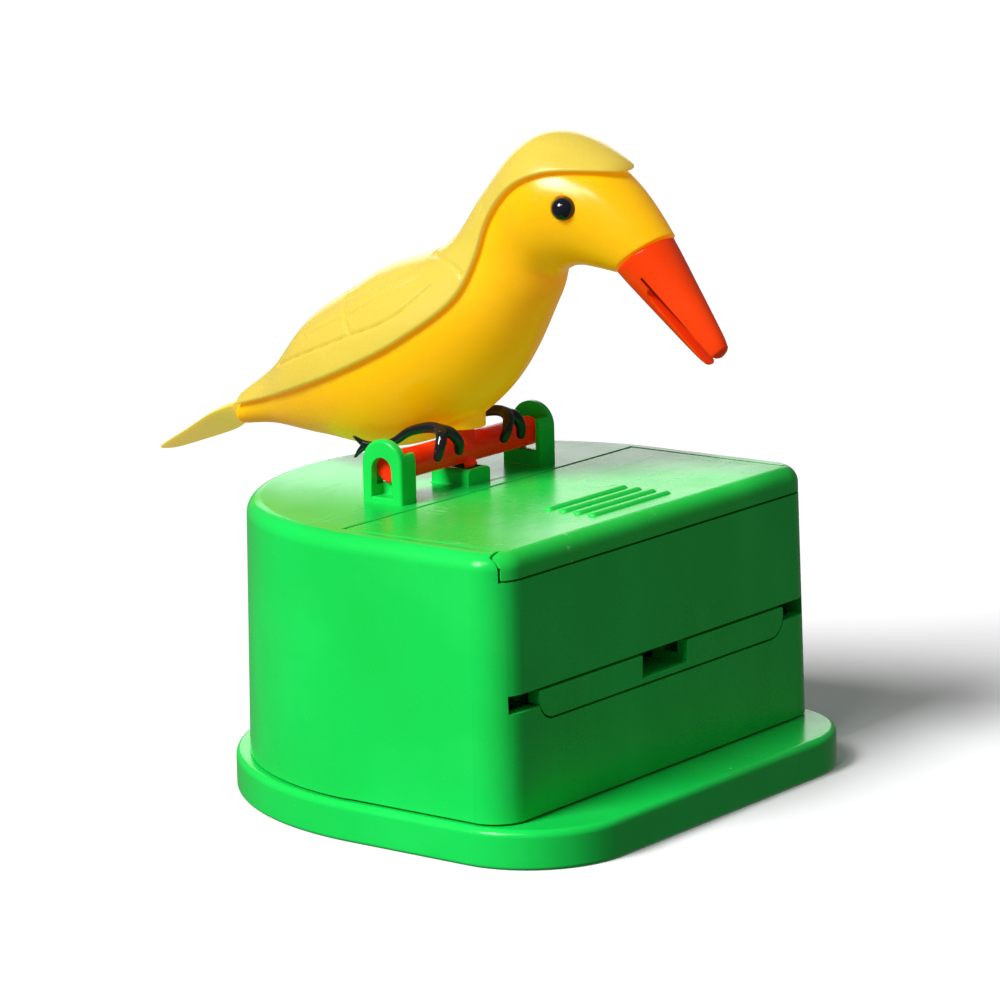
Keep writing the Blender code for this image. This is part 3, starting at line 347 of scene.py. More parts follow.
@dataclass
class Nodes:
    """Small helper that adds and joins the nodes of one material."""

    tree: NodeTree
    coordinates: NodeSocket = field(init=False)

    def __post_init__(self) -> None:
        """Start from object coordinates, which stay put on every piece."""
        self.coordinates = self.tree.nodes.new("ShaderNodeTexCoord").outputs["Object"]

    def add(self, kind: str, links: dict[str, NodeSocket], **values: object) -> Node:
        """Add a node.

        Args:
            kind: Node type.
            links: Input name to the socket that feeds it.
            **values: Input name, its spaces as underscores, to its value.

        Returns:
            The node.
        """
        node = self.tree.nodes.new(kind)
        for name, value in values.items():
            node.inputs[name.replace("_", " ")].default_value = value
        self.feed(node, links)
        return node

    def feed(self, node: Node, links: dict[str, NodeSocket]) -> None:
        """Link sockets to a node's inputs by name."""
        for name, socket in links.items():
            self.tree.links.new(socket, node.inputs[name])

    def noise(self, scale: float, detail: float = 3.0, roughness: float = 0.5,
              stretch: Colour = (1.0, 1.0, 1.0)) -> NodeSocket:
        """Noise on object coordinates.

        Args:
            scale: Cells per metre.
            detail: Octaves.
            roughness: Strength of the finer octaves.
            stretch: Factor on each axis.

        Returns:
            The noise value.
        """
        mapping = self.add("ShaderNodeMapping", {"Vector": self.coordinates}, Scale=stretch)
        links = {"Vector": mapping.outputs["Vector"]}
        node = self.add(
            "ShaderNodeTexNoise", links, Scale=scale, Detail=detail, Roughness=roughness
        )
        return node.outputs["Fac"]

    def fit(self, value: NodeSocket, old: Point2, new: Point2) -> NodeSocket:
        """Map one range to another, clamped."""
        node = self.add(
            "ShaderNodeMapRange", {"Value": value}, From_Min=old[0], From_Max=old[1], To_Min=new[0],
            To_Max=new[1],
        )
        return node.outputs["Result"]

    def blend(self, share: NodeSocket, first: Colour | NodeSocket, second: Colour) -> NodeSocket:
        """Mix two colours by a value."""
        node = self.tree.nodes.new("ShaderNodeMix")
        node.data_type = "RGBA"
        self.tree.links.new(share, node.inputs["Factor"])
        if isinstance(first, NodeSocket):
            self.tree.links.new(first, node.inputs[6])
        else:
            node.inputs[6].default_value = (*first, 1.0)
        node.inputs[7].default_value = (*second, 1.0)
        return node.outputs[2]

    def both(self, sum_up: Sum, first: NodeSocket, second: NodeSocket) -> NodeSocket:
        """Sum or product of two values."""
        node = self.tree.nodes.new("ShaderNodeMath")
        node.operation = sum_up.value
        self.tree.links.new(first, node.inputs[0])
        self.tree.links.new(second, node.inputs[1])
        return node.outputs[0]

    def specks(self, scale: float, size: float) -> NodeSocket:
        """Sparse dots: 1 in a speck and 0 elsewhere."""
        links = {"Vector": self.coordinates}
        cells = self.add("ShaderNodeTexVoronoi", links, Scale=scale)
        dots = self.fit(cells.outputs["Distance"], (size, size * 0.7), (0.0, 1.0))
        chosen = self.fit(self.noise(scale * 0.31, 1.0), (0.70, 0.72), (0.0, 1.0))
        return self.both(Sum.TIMES, dots, chosen)

    def bump(self, height: NodeSocket, strength: float, distance: float,
             under: NodeSocket | None = None) -> NodeSocket:
        """Surface relief from a height value.

        Args:
            height: The height, 0 to 1.
            strength: Share of the relief that shows.
            distance: Height of 1, in metres.
            under: Relief that this one lies on.

        Returns:
            The changed normal.
        """
        links = {"Height": height}
        if under is not None:
            links["Normal"] = under
        node = self.add("ShaderNodeBump", links, Strength=strength, Distance=distance)
        return node.outputs["Normal"]


def blank(name: str) -> tuple[Material, Nodes, Node]:
    """New material, its node helper and its shader."""
    material = bpy.data.materials.new(name)
    material.use_nodes = True
    return material, Nodes(material.node_tree), material.node_tree.nodes["Principled BSDF"]


@dataclass(frozen=True)
class Plastic:
    """Glossy moulded plastic that lets a little light through.

    The colour drifts between two shades, faint swirls of the melt run along the moulding, dust
    specks lie on it, and hairline scratches break up the gloss. An emission colour, where given,
    is a painted glow: painted light, no lamp, that lifts the shaded side of the piece.
    """

    name: str
    colour: Colour
    shade: Colour
    roughness: tuple[float, float] = (0.16, 0.30)
    glow: float = 0.25
    glow_colour: Colour = (1.0, 0.5, 0.2)
    glow_depth_mm: float = 2.5
    gloss: float = 0.2
    specks: float = 0.35
    speck_colour: Colour = (0.9, 0.9, 0.8)
    scuffs: float = 0.0
    # Emission colour: a painted glow that brightens the shaded side; painted light, not a lamp.
    painted_glow: Colour = (0.0, 0.0, 0.0)

    def build(self) -> Material:
        """Make the material.

        Returns:
            The node-based material.
        """
        material, nodes, shader = blank(self.name)
        share = (0.0, 1.0)
        drift = nodes.fit(nodes.noise(38.0, 2.0), (0.32, 0.68), share)
        swirl = nodes.fit(nodes.noise(90.0, 4.0, 0.6, (1.0, 0.35, 0.5)), (0.45, 0.75), (0.0, 0.35))
        colour = nodes.blend(drift, self.colour, self.shade)
        pale = tuple(min(1.0, c * 1.15 + 0.02) for c in self.colour)
        colour = nodes.blend(swirl, colour, pale)
        dust = nodes.fit(nodes.specks(260.0, 0.055), share, (0.0, self.specks))
        colour = nodes.blend(dust, colour, self.speck_colour)
        scratch = (0.0, 0.05)
        along = nodes.noise(1500.0, 2.0, 0.5, (0.03, 1.0, 1.0))
        hairline = nodes.fit(along, (0.62, 0.70), scratch)
        across = nodes.noise(1400.0, 2.0, 0.5, (1.0, 0.03, 0.4))
        cross = nodes.fit(across, (0.64, 0.72), scratch)
        smear = nodes.fit(nodes.noise(55.0, 5.0, 0.65), (0.3, 0.75), self.roughness)
        rough = nodes.both(Sum.PLUS, nodes.both(Sum.PLUS, smear, hairline), cross)
        if self.scuffs > 0.0:
            edge = (0.58, 0.66)
            patch = nodes.fit(nodes.noise(120.0, 3.0, 0.6), edge, share)
            rub = nodes.fit(nodes.noise(900.0, 3.0, 0.7, (1.0, 0.12, 1.0)), edge, share)
            worn = nodes.both(Sum.TIMES, patch, rub)
            rubbed = nodes.fit(worn, share, (0.0, self.scuffs))
            colour = nodes.blend(rubbed, colour, (0.85, 0.95, 0.85))
            rough = nodes.both(Sum.PLUS, rough, rubbed)
        ripple = nodes.bump(nodes.noise(140.0, 2.0), 0.18, 0.12 * MM)
        grain = nodes.bump(nodes.noise(2600.0, 2.0), 0.10, 0.02 * MM, ripple)
        normal = nodes.bump(dust, 0.25, 0.05 * MM, grain)
        nodes.feed(shader, {"Base Color": colour, "Roughness": rough, "Normal": normal})
        shader.inputs["Subsurface Weight"].default_value = self.glow
        shader.inputs["Subsurface Radius"].default_value = self.glow_colour
        shader.inputs["Subsurface Scale"].default_value = self.glow_depth_mm * MM
        shader.inputs["Specular IOR Level"].default_value = self.gloss
        # Painted glow: constant emission that lifts the shaded side, standing in for light; no lamp.
        shader.inputs["Emission Color"].default_value = (*self.painted_glow, 1.0)
        shader.inputs["Emission Strength"].default_value = 1.0 if any(self.painted_glow) else 0.0
        shader.inputs["IOR"].default_value = 1.49
        return material


@dataclass(frozen=True)
class Steel:
    """Bright drawn or turned steel with fine lines across it and a thin oil film."""

    name: str
    colour: Colour = (0.60, 0.60, 0.62)
    shade: Colour = (0.42, 0.42, 0.44)

    def build(self) -> Material:
        """Make the material.

        Returns:
            The node-based material.
        """
        material, nodes, shader = blank(self.name)
        stain = nodes.fit(nodes.noise(300.0, 4.0, 0.6), (0.35, 0.7), (0.0, 1.0))
        lines = nodes.noise(2200.0, 2.0, 0.5, (1.0, 1.0, 0.1))
        rough = nodes.fit(lines, (0.3, 0.7), (0.22, 0.42))
        colour = nodes.blend(stain, self.colour, self.shade)
        relief = nodes.bump(lines, 0.15, 0.02 * MM)
        nodes.feed(shader, {"Base Color": colour, "Roughness": rough, "Normal": relief})
        shader.inputs["Metallic"].default_value = 1.0
        return material


@dataclass(frozen=True)
class Paper:
    """Matt pale studio floor with a faint mottle."""

    name: str = "studio_floor"
    colour: Colour = (0.93, 0.93, 0.93)
    shade: Colour = (0.90, 0.90, 0.91)

    def build(self) -> Material:
        """Make the material."""
        material, nodes, shader = blank(self.name)
        mottle = nodes.noise(6.0, 3.0)
        nodes.feed(shader, {"Base Color": nodes.blend(mottle, self.colour, self.shade)})
        shader.inputs["Roughness"].default_value = 0.85
        shader.inputs["Specular IOR Level"].default_value = 0.1
        return material


GREEN = Plastic("green_plastic_finish", (0.006, 0.61, 0.080), (0.008, 0.54, 0.062), glow=0.12,
                glow_colour=(0.25, 1.0, 0.3), speck_colour=(0.75, 0.95, 0.7))
GREEN_LID = Plastic("green_lid_finish", (0.008, 0.61, 0.070), (0.020, 0.55, 0.050), glow=0.12,
                    glow_colour=(0.25, 1.0, 0.3), roughness=(0.20, 0.34),
                    speck_colour=(0.75, 0.95, 0.7), scuffs=0.30)
# Belly: its own yellow, plus a painted orange glow (emission) that lifts the shaded underside.
BELLY_YELLOW = Plastic("yellow_plastic_finish", (0.60, 0.39, 0.002), (0.58, 0.35, 0.002),
                       glow=0.45, glow_colour=(1.0, 0.36, 0.04), glow_depth_mm=5.0,
                       gloss=0.35, painted_glow=(0.36, 0.14, 0.0))
# Back: the belly's yellow plastic, its base made paler to paint in the white sheen of the lit top,
# plus a painted glow (emission) on its shaded side.
BACK_YELLOW_PAINTED_SHEEN = Plastic("yellow_plastic_painted_light_finish", (0.43, 0.365, 0.052), (0.43, 0.345, 0.038),
                      glow=0.35, glow_colour=(1.0, 0.55, 0.10), glow_depth_mm=3.0,
                      roughness=(0.20, 0.32), gloss=0.35, painted_glow=(0.31, 0.21, 0.026))
# Tail: the back's plastic made brighter still, with a stronger painted glow (emission), so that its
# shaded underside looks lit.
TAIL_YELLOW_PAINTED_LIGHT = Plastic("tail_plastic_painted_light_finish", (0.48, 0.41, 0.062), (0.48, 0.39, 0.048),
                      glow=0.35, glow_colour=(1.0, 0.60, 0.14), glow_depth_mm=3.0,
                      roughness=(0.20, 0.32), gloss=0.30, painted_glow=(0.46, 0.34, 0.060))
# Beak: its own orange, plus a painted glow (emission) on the shaded side.
BEAK_ORANGE = Plastic("orange_plastic_finish", (0.72, 0.046, 0.001), (0.66, 0.032, 0.001),
                      glow=0.30, glow_colour=(1.0, 0.2, 0.03), glow_depth_mm=1.5, specks=0.2,
                      painted_glow=(0.16, 0.006, 0.0))
# Rod: its own red, plus a painted glow (emission) that lifts its shaded side.
ROD_RED = Plastic("red_plastic_finish", (0.72, 0.024, 0.001), (0.66, 0.016, 0.001), glow=0.15,
                  glow_colour=(1.0, 0.15, 0.03), roughness=(0.20, 0.32), specks=0.2,
                  painted_glow=(0.16, 0.003, 0.0))
FOOT_BLACK = Plastic("black_plastic_finish", (0.003, 0.004, 0.006), (0.006, 0.006, 0.009),
                     glow=0.0, roughness=(0.07, 0.15), specks=0.12, gloss=0.5)
EYE_BLACK = Plastic("eye_finish", (0.003, 0.004, 0.010), (0.004, 0.005, 0.014), glow=0.0,
                    roughness=(0.04, 0.09), specks=0.0, gloss=0.5)
WHITE = Plastic("white_plastic_finish", (0.80, 0.80, 0.76), (0.76, 0.76, 0.73), glow=0.15,
                glow_colour=(1.0, 0.9, 0.8), roughness=(0.30, 0.44), speck_colour=(0.5, 0.45, 0.4))
STEEL = Steel("steel_finish")


# ---------------------------------------------------------------------------------------------
# Placing pieces
# ---------------------------------------------------------------------------------------------


@dataclass
class Dresser:
    """Turns finished meshes into pieces that ride on the solids' bodies."""

    built: dict[str, Material] = field(default_factory=dict)

    def material(self, finish: Plastic | Steel) -> Material:
        """Material of a finish, made once."""
        if finish.name not in self.built:
            self.built[finish.name] = finish.build()
        return self.built[finish.name]

    def piece(self, name: str, bm: BMesh, finish: Plastic | Steel, body: Body,
              nodes: Sequence[str], smooth_deg: float = 40.0) -> Object:
        """Make a piece that stands for one or more solids.

        Args:
            name: Name of the piece.
            bm: Its mesh, freed here.
            finish: Its finish.
            body: The body that it rides on.
            nodes: The solids that it replaces.
            smooth_deg: Edges sharper than this stay hard.

        Returns:
            The piece.
        """
        mesh = bpy.data.meshes.new(name)
        bm.to_mesh(mesh)
        bm.free()
        mesh.shade_smooth()
        mesh.set_sharp_from_angle(angle=math.radians(smooth_deg))
        obj = bpy.data.objects.new(name, mesh)
        bpy.context.scene.collection.objects.link(obj)
        obj.data.materials.append(self.material(finish))
        weighted = obj.modifiers.new("even_normals", "WEIGHTED_NORMAL")
        weighted.keep_sharp = True
        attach(obj, body.value)
        if nodes:
            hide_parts(*nodes)
        LOG.info("%s: %d faces, for %s", name, len(mesh.polygons), ", ".join(nodes) or "none")
        return obj

    def dress_solid(self, node: str, finish: Plastic | Steel) -> None:
        """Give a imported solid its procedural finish."""
        mesh = frame["nodes"][node].data
        material = self.material(finish)
        if len(mesh.materials) == 0:
            mesh.materials.append(material)
        for index in range(len(mesh.materials)):
            mesh.materials[index] = material
        LOG.info("%s keeps its solid", node)


def joint_place(name: str) -> Vector:
    """Point that a hinge turns about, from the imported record."""
    joint = next(j for j in frame["joints"] if j["name"] == name)
    return Vector(joint["pos_m"])


# ---------------------------------------------------------------------------------------------
# Case, lid, tray and hopper
# ---------------------------------------------------------------------------------------------


@dataclass
class CaseForm:
    """Outer form of the case: two round corners in front, half an ellipse behind."""

    width_mm: float = 73.5
    length_mm: float = 63.0
    top_mm: float = 41.05
    bottom_mm: float = 5.6
    corner_mm: float = 5.0
    straight_mm: float = 25.5
    fillet_mm: float = 2.3
    wall_mm: float = 2.0
    draft: float = 0.0162
    toe_mm: float = 8.8
    front: float = field(init=False)
    side_end: float = field(init=False)

    def __post_init__(self) -> None:
        """Find the front face, and where the straight sides meet the ellipse."""
        self.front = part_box("base_plate")[0].y + self.toe_mm * MM
        self.side_end = self.front + self.straight_mm * MM

    @property
    def top(self) -> float:
        """Height of the flat top."""
        return self.top_mm * MM

    def plan(self, half: float, front: float, corner: float, back: float, z: float) -> list[Vector]:
        """One closed plan outline.

        Args:
            half: Half-width.
            front: Y of the front.
            corner: Radius of the front corners.
            back: Y of the back.
            z: Height of the outline.

        Returns:
            Its points.
        """
        ring = arc((-half + corner, front + corner), corner, 180, 270, 14)
        ring += arc((half - corner, front + corner), corner, 270, 360, 14)
        depth = back - self.side_end
        for i in range(97):
            angle = math.pi * i / 96
            ring.append((half * math.cos(angle), self.side_end + depth * math.sin(angle)))
        return [Vector((x, y, z)) for x, y in ring]

    def ring(self, z: float, inset: float) -> list[Vector]:
        """Outline of the leaning wall at a height, moved inwards by inset."""
        lean = self.draft * z
        half = self.width_mm * MM / 2 - lean - inset
        back = self.front + self.length_mm * MM - lean - inset
        return self.plan(half, self.front + lean + inset, self.corner_mm * MM - inset, back, z)

    def outside(self) -> BMesh:
        """Solid block with its rounded top edge."""
        fillet = self.fillet_mm * MM
        rings = [self.ring(self.bottom_mm * MM, 0.0)]
        for i in range(13):
            angle = math.pi / 2 * i / 12
            height = self.top - fillet + fillet * math.sin(angle)
            rings.append(self.ring(height, fillet * (1 - math.cos(angle))))
        return loft(rings)


@dataclass
class TrayForm:
    """Sizes that the tray shares with its way through the case."""

    half_width_mm: float = 28.2
    bottom_mm: float = 18.1
    top_mm: float = 22.0
    corner_mm: float = 3.0
    lip_mm: float = 1.9
    groove_mm: float = 2.4
    groove_floor_mm: float = 20.0
    slot_top_mm: float = 22.4
    slot_half_mm: float = 34.0
    wall_mm: float = 1.7
    deck_mm: float = 1.8
    deck_length_mm: float = 16.0
    gap_half_mm: float = 5.2
    gap_floor_mm: float = 0.8
    tongue_half_mm: float = 4.5
    web_half_mm: float = 3.9
    slot_mm: Point2 = (1.5, 2.8)
    slot_end_mm: float = 1.3
    skid_mm: float = 2.2
    skid_start_mm: float = 9.8

    def front_outline(self, grow: float, top: float) -> list[Point2]:
        """Front of the tray in X and Z, its lower corners rounded.

        Args:
            grow: How much wider than the tray, all round.
            top: Height of the upper edge.

        Returns:
            The outline.
        """
        half = self.half_width_mm * MM + grow
        low = self.bottom_mm * MM - grow
        radius = self.corner_mm * MM + grow
        outline = [(half, top), (-half, top)]
        outline += arc((-half + radius, low + radius), radius, 180, 270, 16)
        return outline + arc((half - radius, low + radius), radius, 270, 360, 16)


@dataclass
class Housing:
    """Base plate, case, lid, tray and hopper: everything in green, and the white insert."""

    form: CaseForm
    tray: TrayForm
    perch: Vector
    pivot: Vector
    base_thickness_mm: float = 5.3
    base_side_mm: float = 1.0
    base_heel_mm: float = 2.5
    base_corner_mm: float = 14.4
    base_round_mm: float = 1.0
    lid_half_mm: float = 32.2
    lid_length_mm: float = 28.8
    lid_plate_mm: float = 1.8
    lip_half_mm: float = 34.2
    lip_height_mm: float = 3.45
    lip_depth_mm: float = 3.0
    rail_out_mm: float = 1.6
    rail_height_mm: float = 1.1
    rail_drop_mm: float = 0.5
    ear_inner_mm: float = 13.9
    ear_outer_mm: float = 17.4
    ear_plate_mm: float = 1.2
    ear_half_mm: float = 3.42
    ear_rise_mm: float = 8.75
    cheek_rise_mm: float = 6.75
    window_half_mm: float = 1.7
    window_low_mm: float = 0.85
    window_high_mm: float = 6.35
    block_half_mm: float = 2.45
    block_depth_mm: float = 3.22
    rod_radius_mm: float = 2.05
    post_radius_mm: float = 2.8
    post_height_mm: float = 9.5
    screw_radius_mm: float = 1.2
    screw_head_mm: float = 2.3
    screw_head_depth_mm: float = 2.2
    seam_mm: float = 0.22
    tower_radius_mm: float = 2.9
    spigot_radius_mm: float = 1.3
    spigot_rise_mm: float = 2.6
    lug_inner_mm: float = 1.7
    lug_outer_mm: float = 3.4
    lug_half_mm: float = 2.5
    ledge_mm: float = 1.2
    block_corner_mm: float = 0.8
    block_hole_mm: Point2 = (1.5, 2.55)
    pin_radius_mm: float = 1.3
    pin_length_mm: float = 15.2
    rib_count: int = 4
    rib_step_mm: float = 2.4
    rib_start_mm: float = 3.0
    rib_radius_mm: float = 0.9
    rib_length_mm: float = 18.0
    rib_sunk_mm: float = 0.5
    rib_end_mm: float = 0.6

    def screw_places(self) -> list[Point2]:
        """Plan positions of the four base screws, from the solids."""
        corners = ("front_left", "front_right", "rear_left", "rear_right")
        middles = [sum(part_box(f"base_screw_{c}"), Vector()) / 2 for c in corners]
        return [(middle.x, middle.y) for middle in middles]

    def base_plate(self) -> BMesh:
        """Plate with a rounded rim, the spring's post and sunk screw holes."""
        thickness = self.base_thickness_mm * MM
        rounding = self.base_round_mm * MM
        half = self.form.width_mm * MM / 2 + self.base_side_mm * MM
        toe = self.form.front - self.form.toe_mm * MM
        back = self.form.front + (self.form.length_mm + self.base_heel_mm) * MM
        corner = self.base_corner_mm * MM
        stages = []
        for i in range(7):
            angle = math.pi / 2 * i / 6
            foot = rounding / 2
            stages.append((foot - foot * math.cos(angle), foot * (1 - math.sin(angle))))
        for i in range(11):
            angle = math.pi / 2 * i / 10
            rise = rounding * math.sin(angle)
            stages.append((thickness - rounding + rise, rounding * (1 - math.cos(angle))))
        rings = [self.form.plan(half - s, toe + s, corner - s, back - s, z) for z, s in stages]
        spring_low, spring_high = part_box("return_spring")
        spring_y = (spring_low.y + spring_high.y) / 2
        seat = spring_low.z - GAP
        foot = thickness / 2
        middle = Vector((0, spring_y, (seat + foot) / 2 + foot / 2))
        tower = bar(Axis.Z, middle, self.tower_radius_mm * MM, seat - foot)
        middle = Vector((0, spring_y, spring_low.z))
        spigot = bar(Axis.Z, middle, self.spigot_radius_mm * MM, 2 * self.spigot_rise_mm * MM)
        steps = [(Cut.ADD, round_edges(tower, 0.2 * MM)), (Cut.ADD, round_edges(spigot, 0.3 * MM))]
        for x, y in self.screw_places():
            shank = self.screw_radius_mm * MM + GAP
            head = self.screw_head_mm * MM + GAP
            depth = 2 * self.screw_head_depth_mm * MM
            steps.append((Cut.REMOVE, bar(Axis.Z, Vector((x, y, 0)), shank, 4 * thickness, 32)))
            steps.append((Cut.REMOVE, bar(Axis.Z, Vector((x, y, 0)), head, depth, 48)))
        return carve(loft(rings), steps)

    def ear_outline(self, half: float, low: float, high: float) -> list[Point2]:
        """Arched outline in Y and Z: straight sides and a half-round top."""
        y = self.perch.y
        return [(y - half, low), (y + half, low)] + arc((y, high - half), half, 0, 180, 32)

    def ear(self, span: Point2) -> BMesh:
        """One ear of the perch with softly rounded edges."""
        top = self.form.top
        outline = self.ear_outline(self.ear_half_mm * MM, top - MM, top + self.ear_rise_mm * MM)
        return round_edges(prism(outline, Axis.X, *span), 0.45 * MM, 5)

    def case(self) -> BMesh:
        """Case with its ears, centre block, lugs, posts and all openings."""
        form, top = self.form, self.form.top
        wall = form.wall_mm * MM
        inside = loft([form.ring(form.bottom_mm * MM - 2 * MM, wall), form.ring(top - wall, wall)])
        steps = [(Cut.REMOVE, inside)]
        steps += [(Cut.ADD, solid) for solid in self.case_features()]
        steps += [(Cut.REMOVE, solid) for solid in self.case_openings()]
        return round_edges(carve(form.outside(), steps), self.seam_mm * MM, 3, 60.0, 3.2)

    def case_features(self) -> list[BMesh]:
        """Solids that stand on or hang from the case's walls."""
        form, top = self.form, self.form.top
        inner_top = top - form.wall_mm * MM / 2
        solids = []
        post_low = form.bottom_mm * MM
        for x, y in self.screw_places():
            middle = Vector((x, y, post_low + self.post_height_mm * MM / 2))
            height = self.post_height_mm * MM
            solids.append(bar(Axis.Z, middle, self.post_radius_mm * MM, height, 40))
        for span in mirror_spans(self.lug_inner_mm * MM, self.lug_outer_mm * MM):
            half = self.lug_half_mm * MM
            outline = [(self.pivot.y + half, inner_top), (self.pivot.y - half, inner_top)]
            outline += arc((self.pivot.y, self.pivot.z), half, 180, 360, 28)
            solids.append(prism(outline, Axis.X, *span))
        ledge_top = top - (self.lid_plate_mm + self.rail_drop_mm + self.rail_height_mm) * MM - GAP
        rail_half = (self.lid_half_mm + self.rail_out_mm) * MM
        ledge_back = form.front + (self.lid_length_mm - 1.5) * MM - 2 * GAP
        for span in mirror_spans(rail_half - 0.7 * MM, (form.width_mm / 2 - 1.7) * MM):
            ledge_front = form.front + (form.wall_mm + 2) * MM
            ledge_low = ledge_top - self.ledge_mm * MM
            solids.append(box(span, (ledge_front, ledge_back), (ledge_low, ledge_top)))
        for span in mirror_spans(self.ear_inner_mm * MM, self.ear_outer_mm * MM):
            solids.append(self.ear(span))
        half = self.block_half_mm * MM
        block_top = self.perch.z - self.rod_radius_mm * MM - GAP
        corner = self.block_corner_mm * MM
        outline = [(-half, inner_top), (half, inner_top)]
        outline += arc((half - corner, block_top - corner), corner, 0, 90, 8)
        outline += arc((-half + corner, block_top - corner), corner, 90, 180, 8)
        depth = self.block_depth_mm * MM
        solids.append(prism(outline, Axis.Y, self.perch.y - depth, self.perch.y + depth))
        return solids

    def case_openings(self) -> list[BMesh]:
        """Solids that are cut out of the case."""
        form, top, tray = self.form, self.form.top, self.tray
        ahead = form.front - CUT_PAST
        plate = self.lid_half_mm * MM + GAP
        lip = self.lip_half_mm * MM + GAP
        lip_back = form.front + self.lip_depth_mm * MM + GAP
        lid_back = form.front + self.lid_length_mm * MM + GAP
        outline = [(-lip, ahead), (lip, ahead), (lip, lip_back), (plate, lip_back)]
        outline += [(plate, lid_back), (-plate, lid_back), (-plate, lip_back), (-lip, lip_back)]
        wall_top = top - self.lip_height_mm * MM - GAP
        solids = [prism(outline, Axis.Z, wall_top, top + CUT_PAST)]
        rail_top = top - (self.lid_plate_mm + self.rail_drop_mm) * MM
        rail_low = rail_top - self.rail_height_mm * MM
        rail_out = (self.lid_half_mm + self.rail_out_mm) * MM + GAP
        for span in mirror_spans(self.lid_half_mm * MM, rail_out):
            way = (rail_low - 0.2 * MM, rail_top + GAP)
            solids.append(box(span, (ahead, form.front + (form.corner_mm + 1) * MM), way))
        inward = form.front + (form.wall_mm + 3) * MM
        slot_half, slot_top = tray.slot_half_mm * MM, tray.slot_top_mm * MM
        slot = box((-slot_half, slot_half), (ahead, inward), (tray.groove_floor_mm * MM, slot_top))
        solids.append(slot)
        recess = tray.front_outline(GAP, slot_top)
        solids.append(prism(recess, Axis.Y, ahead, inward - 0.5 * MM))
        y, z = self.perch.y, self.perch.z
        across, along = (size * MM for size in self.block_hole_mm)
        solids.append(box((-across, across), (y - along, y + along), (top - 4 * MM, z)))
        channel = self.rod_radius_mm * MM + GAP
        cheek = top + self.cheek_rise_mm * MM
        above = top + (self.ear_rise_mm + 3) * MM
        wide = (self.ear_half_mm + 2) * MM
        way = [(y - channel, z - channel), (y + channel, z - channel), (y + channel, cheek)]
        way += [(y + wide, cheek), (y + wide, above), (y - wide, above), (y - wide, cheek)]
        way += [(y - channel, cheek)]
        plate_in = (self.ear_outer_mm - self.ear_plate_mm) * MM
        for span in mirror_spans((self.ear_inner_mm - 2) * MM, plate_in):
            solids.append(prism(way, Axis.X, *span))
        low, high = top + self.window_low_mm * MM, top + self.window_high_mm * MM
        window = self.ear_outline(self.window_half_mm * MM, low, high)
        for span in mirror_spans(plate_in - self.ear_plate_mm * MM, (self.ear_outer_mm + 2) * MM):
            solids.append(prism(window, Axis.X, *span))
        pin = bar(Axis.X, self.pivot, self.pin_radius_mm * MM, self.pin_length_mm * MM, 40)
        solids.append(pin)
        for x, post_y in self.screw_places():
            middle = Vector((x, post_y, form.bottom_mm * MM))
            solids.append(bar(Axis.Z, middle, self.screw_radius_mm * MM + GAP, 16 * MM, 32))
        return solids

    def lid(self) -> BMesh:
        """Sliding lid with its front lip and side rails; its finger ribs are separate pieces."""
        form, top = self.form, self.form.top
        ahead = form.front - CUT_PAST
        lip, plate = self.lip_half_mm * MM, self.lid_half_mm * MM
        lip_back = form.front + self.lip_depth_mm * MM
        back = form.front + self.lid_length_mm * MM
        low = top - self.lid_plate_mm * MM
        lip_low = top - self.lip_height_mm * MM
        outline = [(-lip, ahead), (lip, ahead), (lip, lip_back), (plate, lip_back)]
        outline += [(plate, back), (-plate, back), (-plate, lip_back), (-lip, lip_back)]
        hollow_y = (lip_back - 1.2 * MM, form.length_mm * MM)
        hollow = box((-0.08, 0.08), hollow_y, (lip_low - 5 * MM, low))
        steps = [(Cut.KEEP, prism(outline, Axis.Z, lip_low, top + 5 * MM)), (Cut.REMOVE, hollow)]
        rail_top = low - self.rail_drop_mm * MM
        rail_low = rail_top - self.rail_height_mm * MM
        for side in (-1, 1):
            web_in, web_out = side * (plate - 1.4 * MM), side * (plate - 0.2 * MM)
            rail_out = side * (plate + self.rail_out_mm * MM)
            rail = [(web_in, low + 0.6 * MM), (web_out, low + 0.6 * MM), (web_out, rail_top)]
            rail += [(rail_out, rail_top), (rail_out, rail_low), (web_in, rail_low)]
            steps.append((Cut.ADD, prism(rail, Axis.Y, lip_back - 1.5 * MM, back - 0.4 * MM)))
        return round_edges(carve(form.outside(), steps), self.seam_mm * MM, 3, 60.0, 3.2)

    def rib(self, index: int) -> BMesh:
        """One low finger rib with round ends, counted from the front."""
        start = self.lip_depth_mm + self.rib_start_mm
        y = self.form.front + (start + self.rib_step_mm * index) * MM
        middle = Vector((0, y, self.form.top - self.rib_sunk_mm * MM))
        rib = bar(Axis.X, middle, self.rib_radius_mm * MM, self.rib_length_mm * MM, 40)
        ends = [e for e in rib.edges if abs(e.verts[0].co.x - e.verts[1].co.x) < MERGE]
        bmesh.ops.bevel(
            rib, geom=ends, offset=self.rib_end_mm * MM, offset_type="OFFSET", segments=6, profile=0.5,
            affect="EDGES", material=-1, clamp_overlap=True,
        )
        return rib

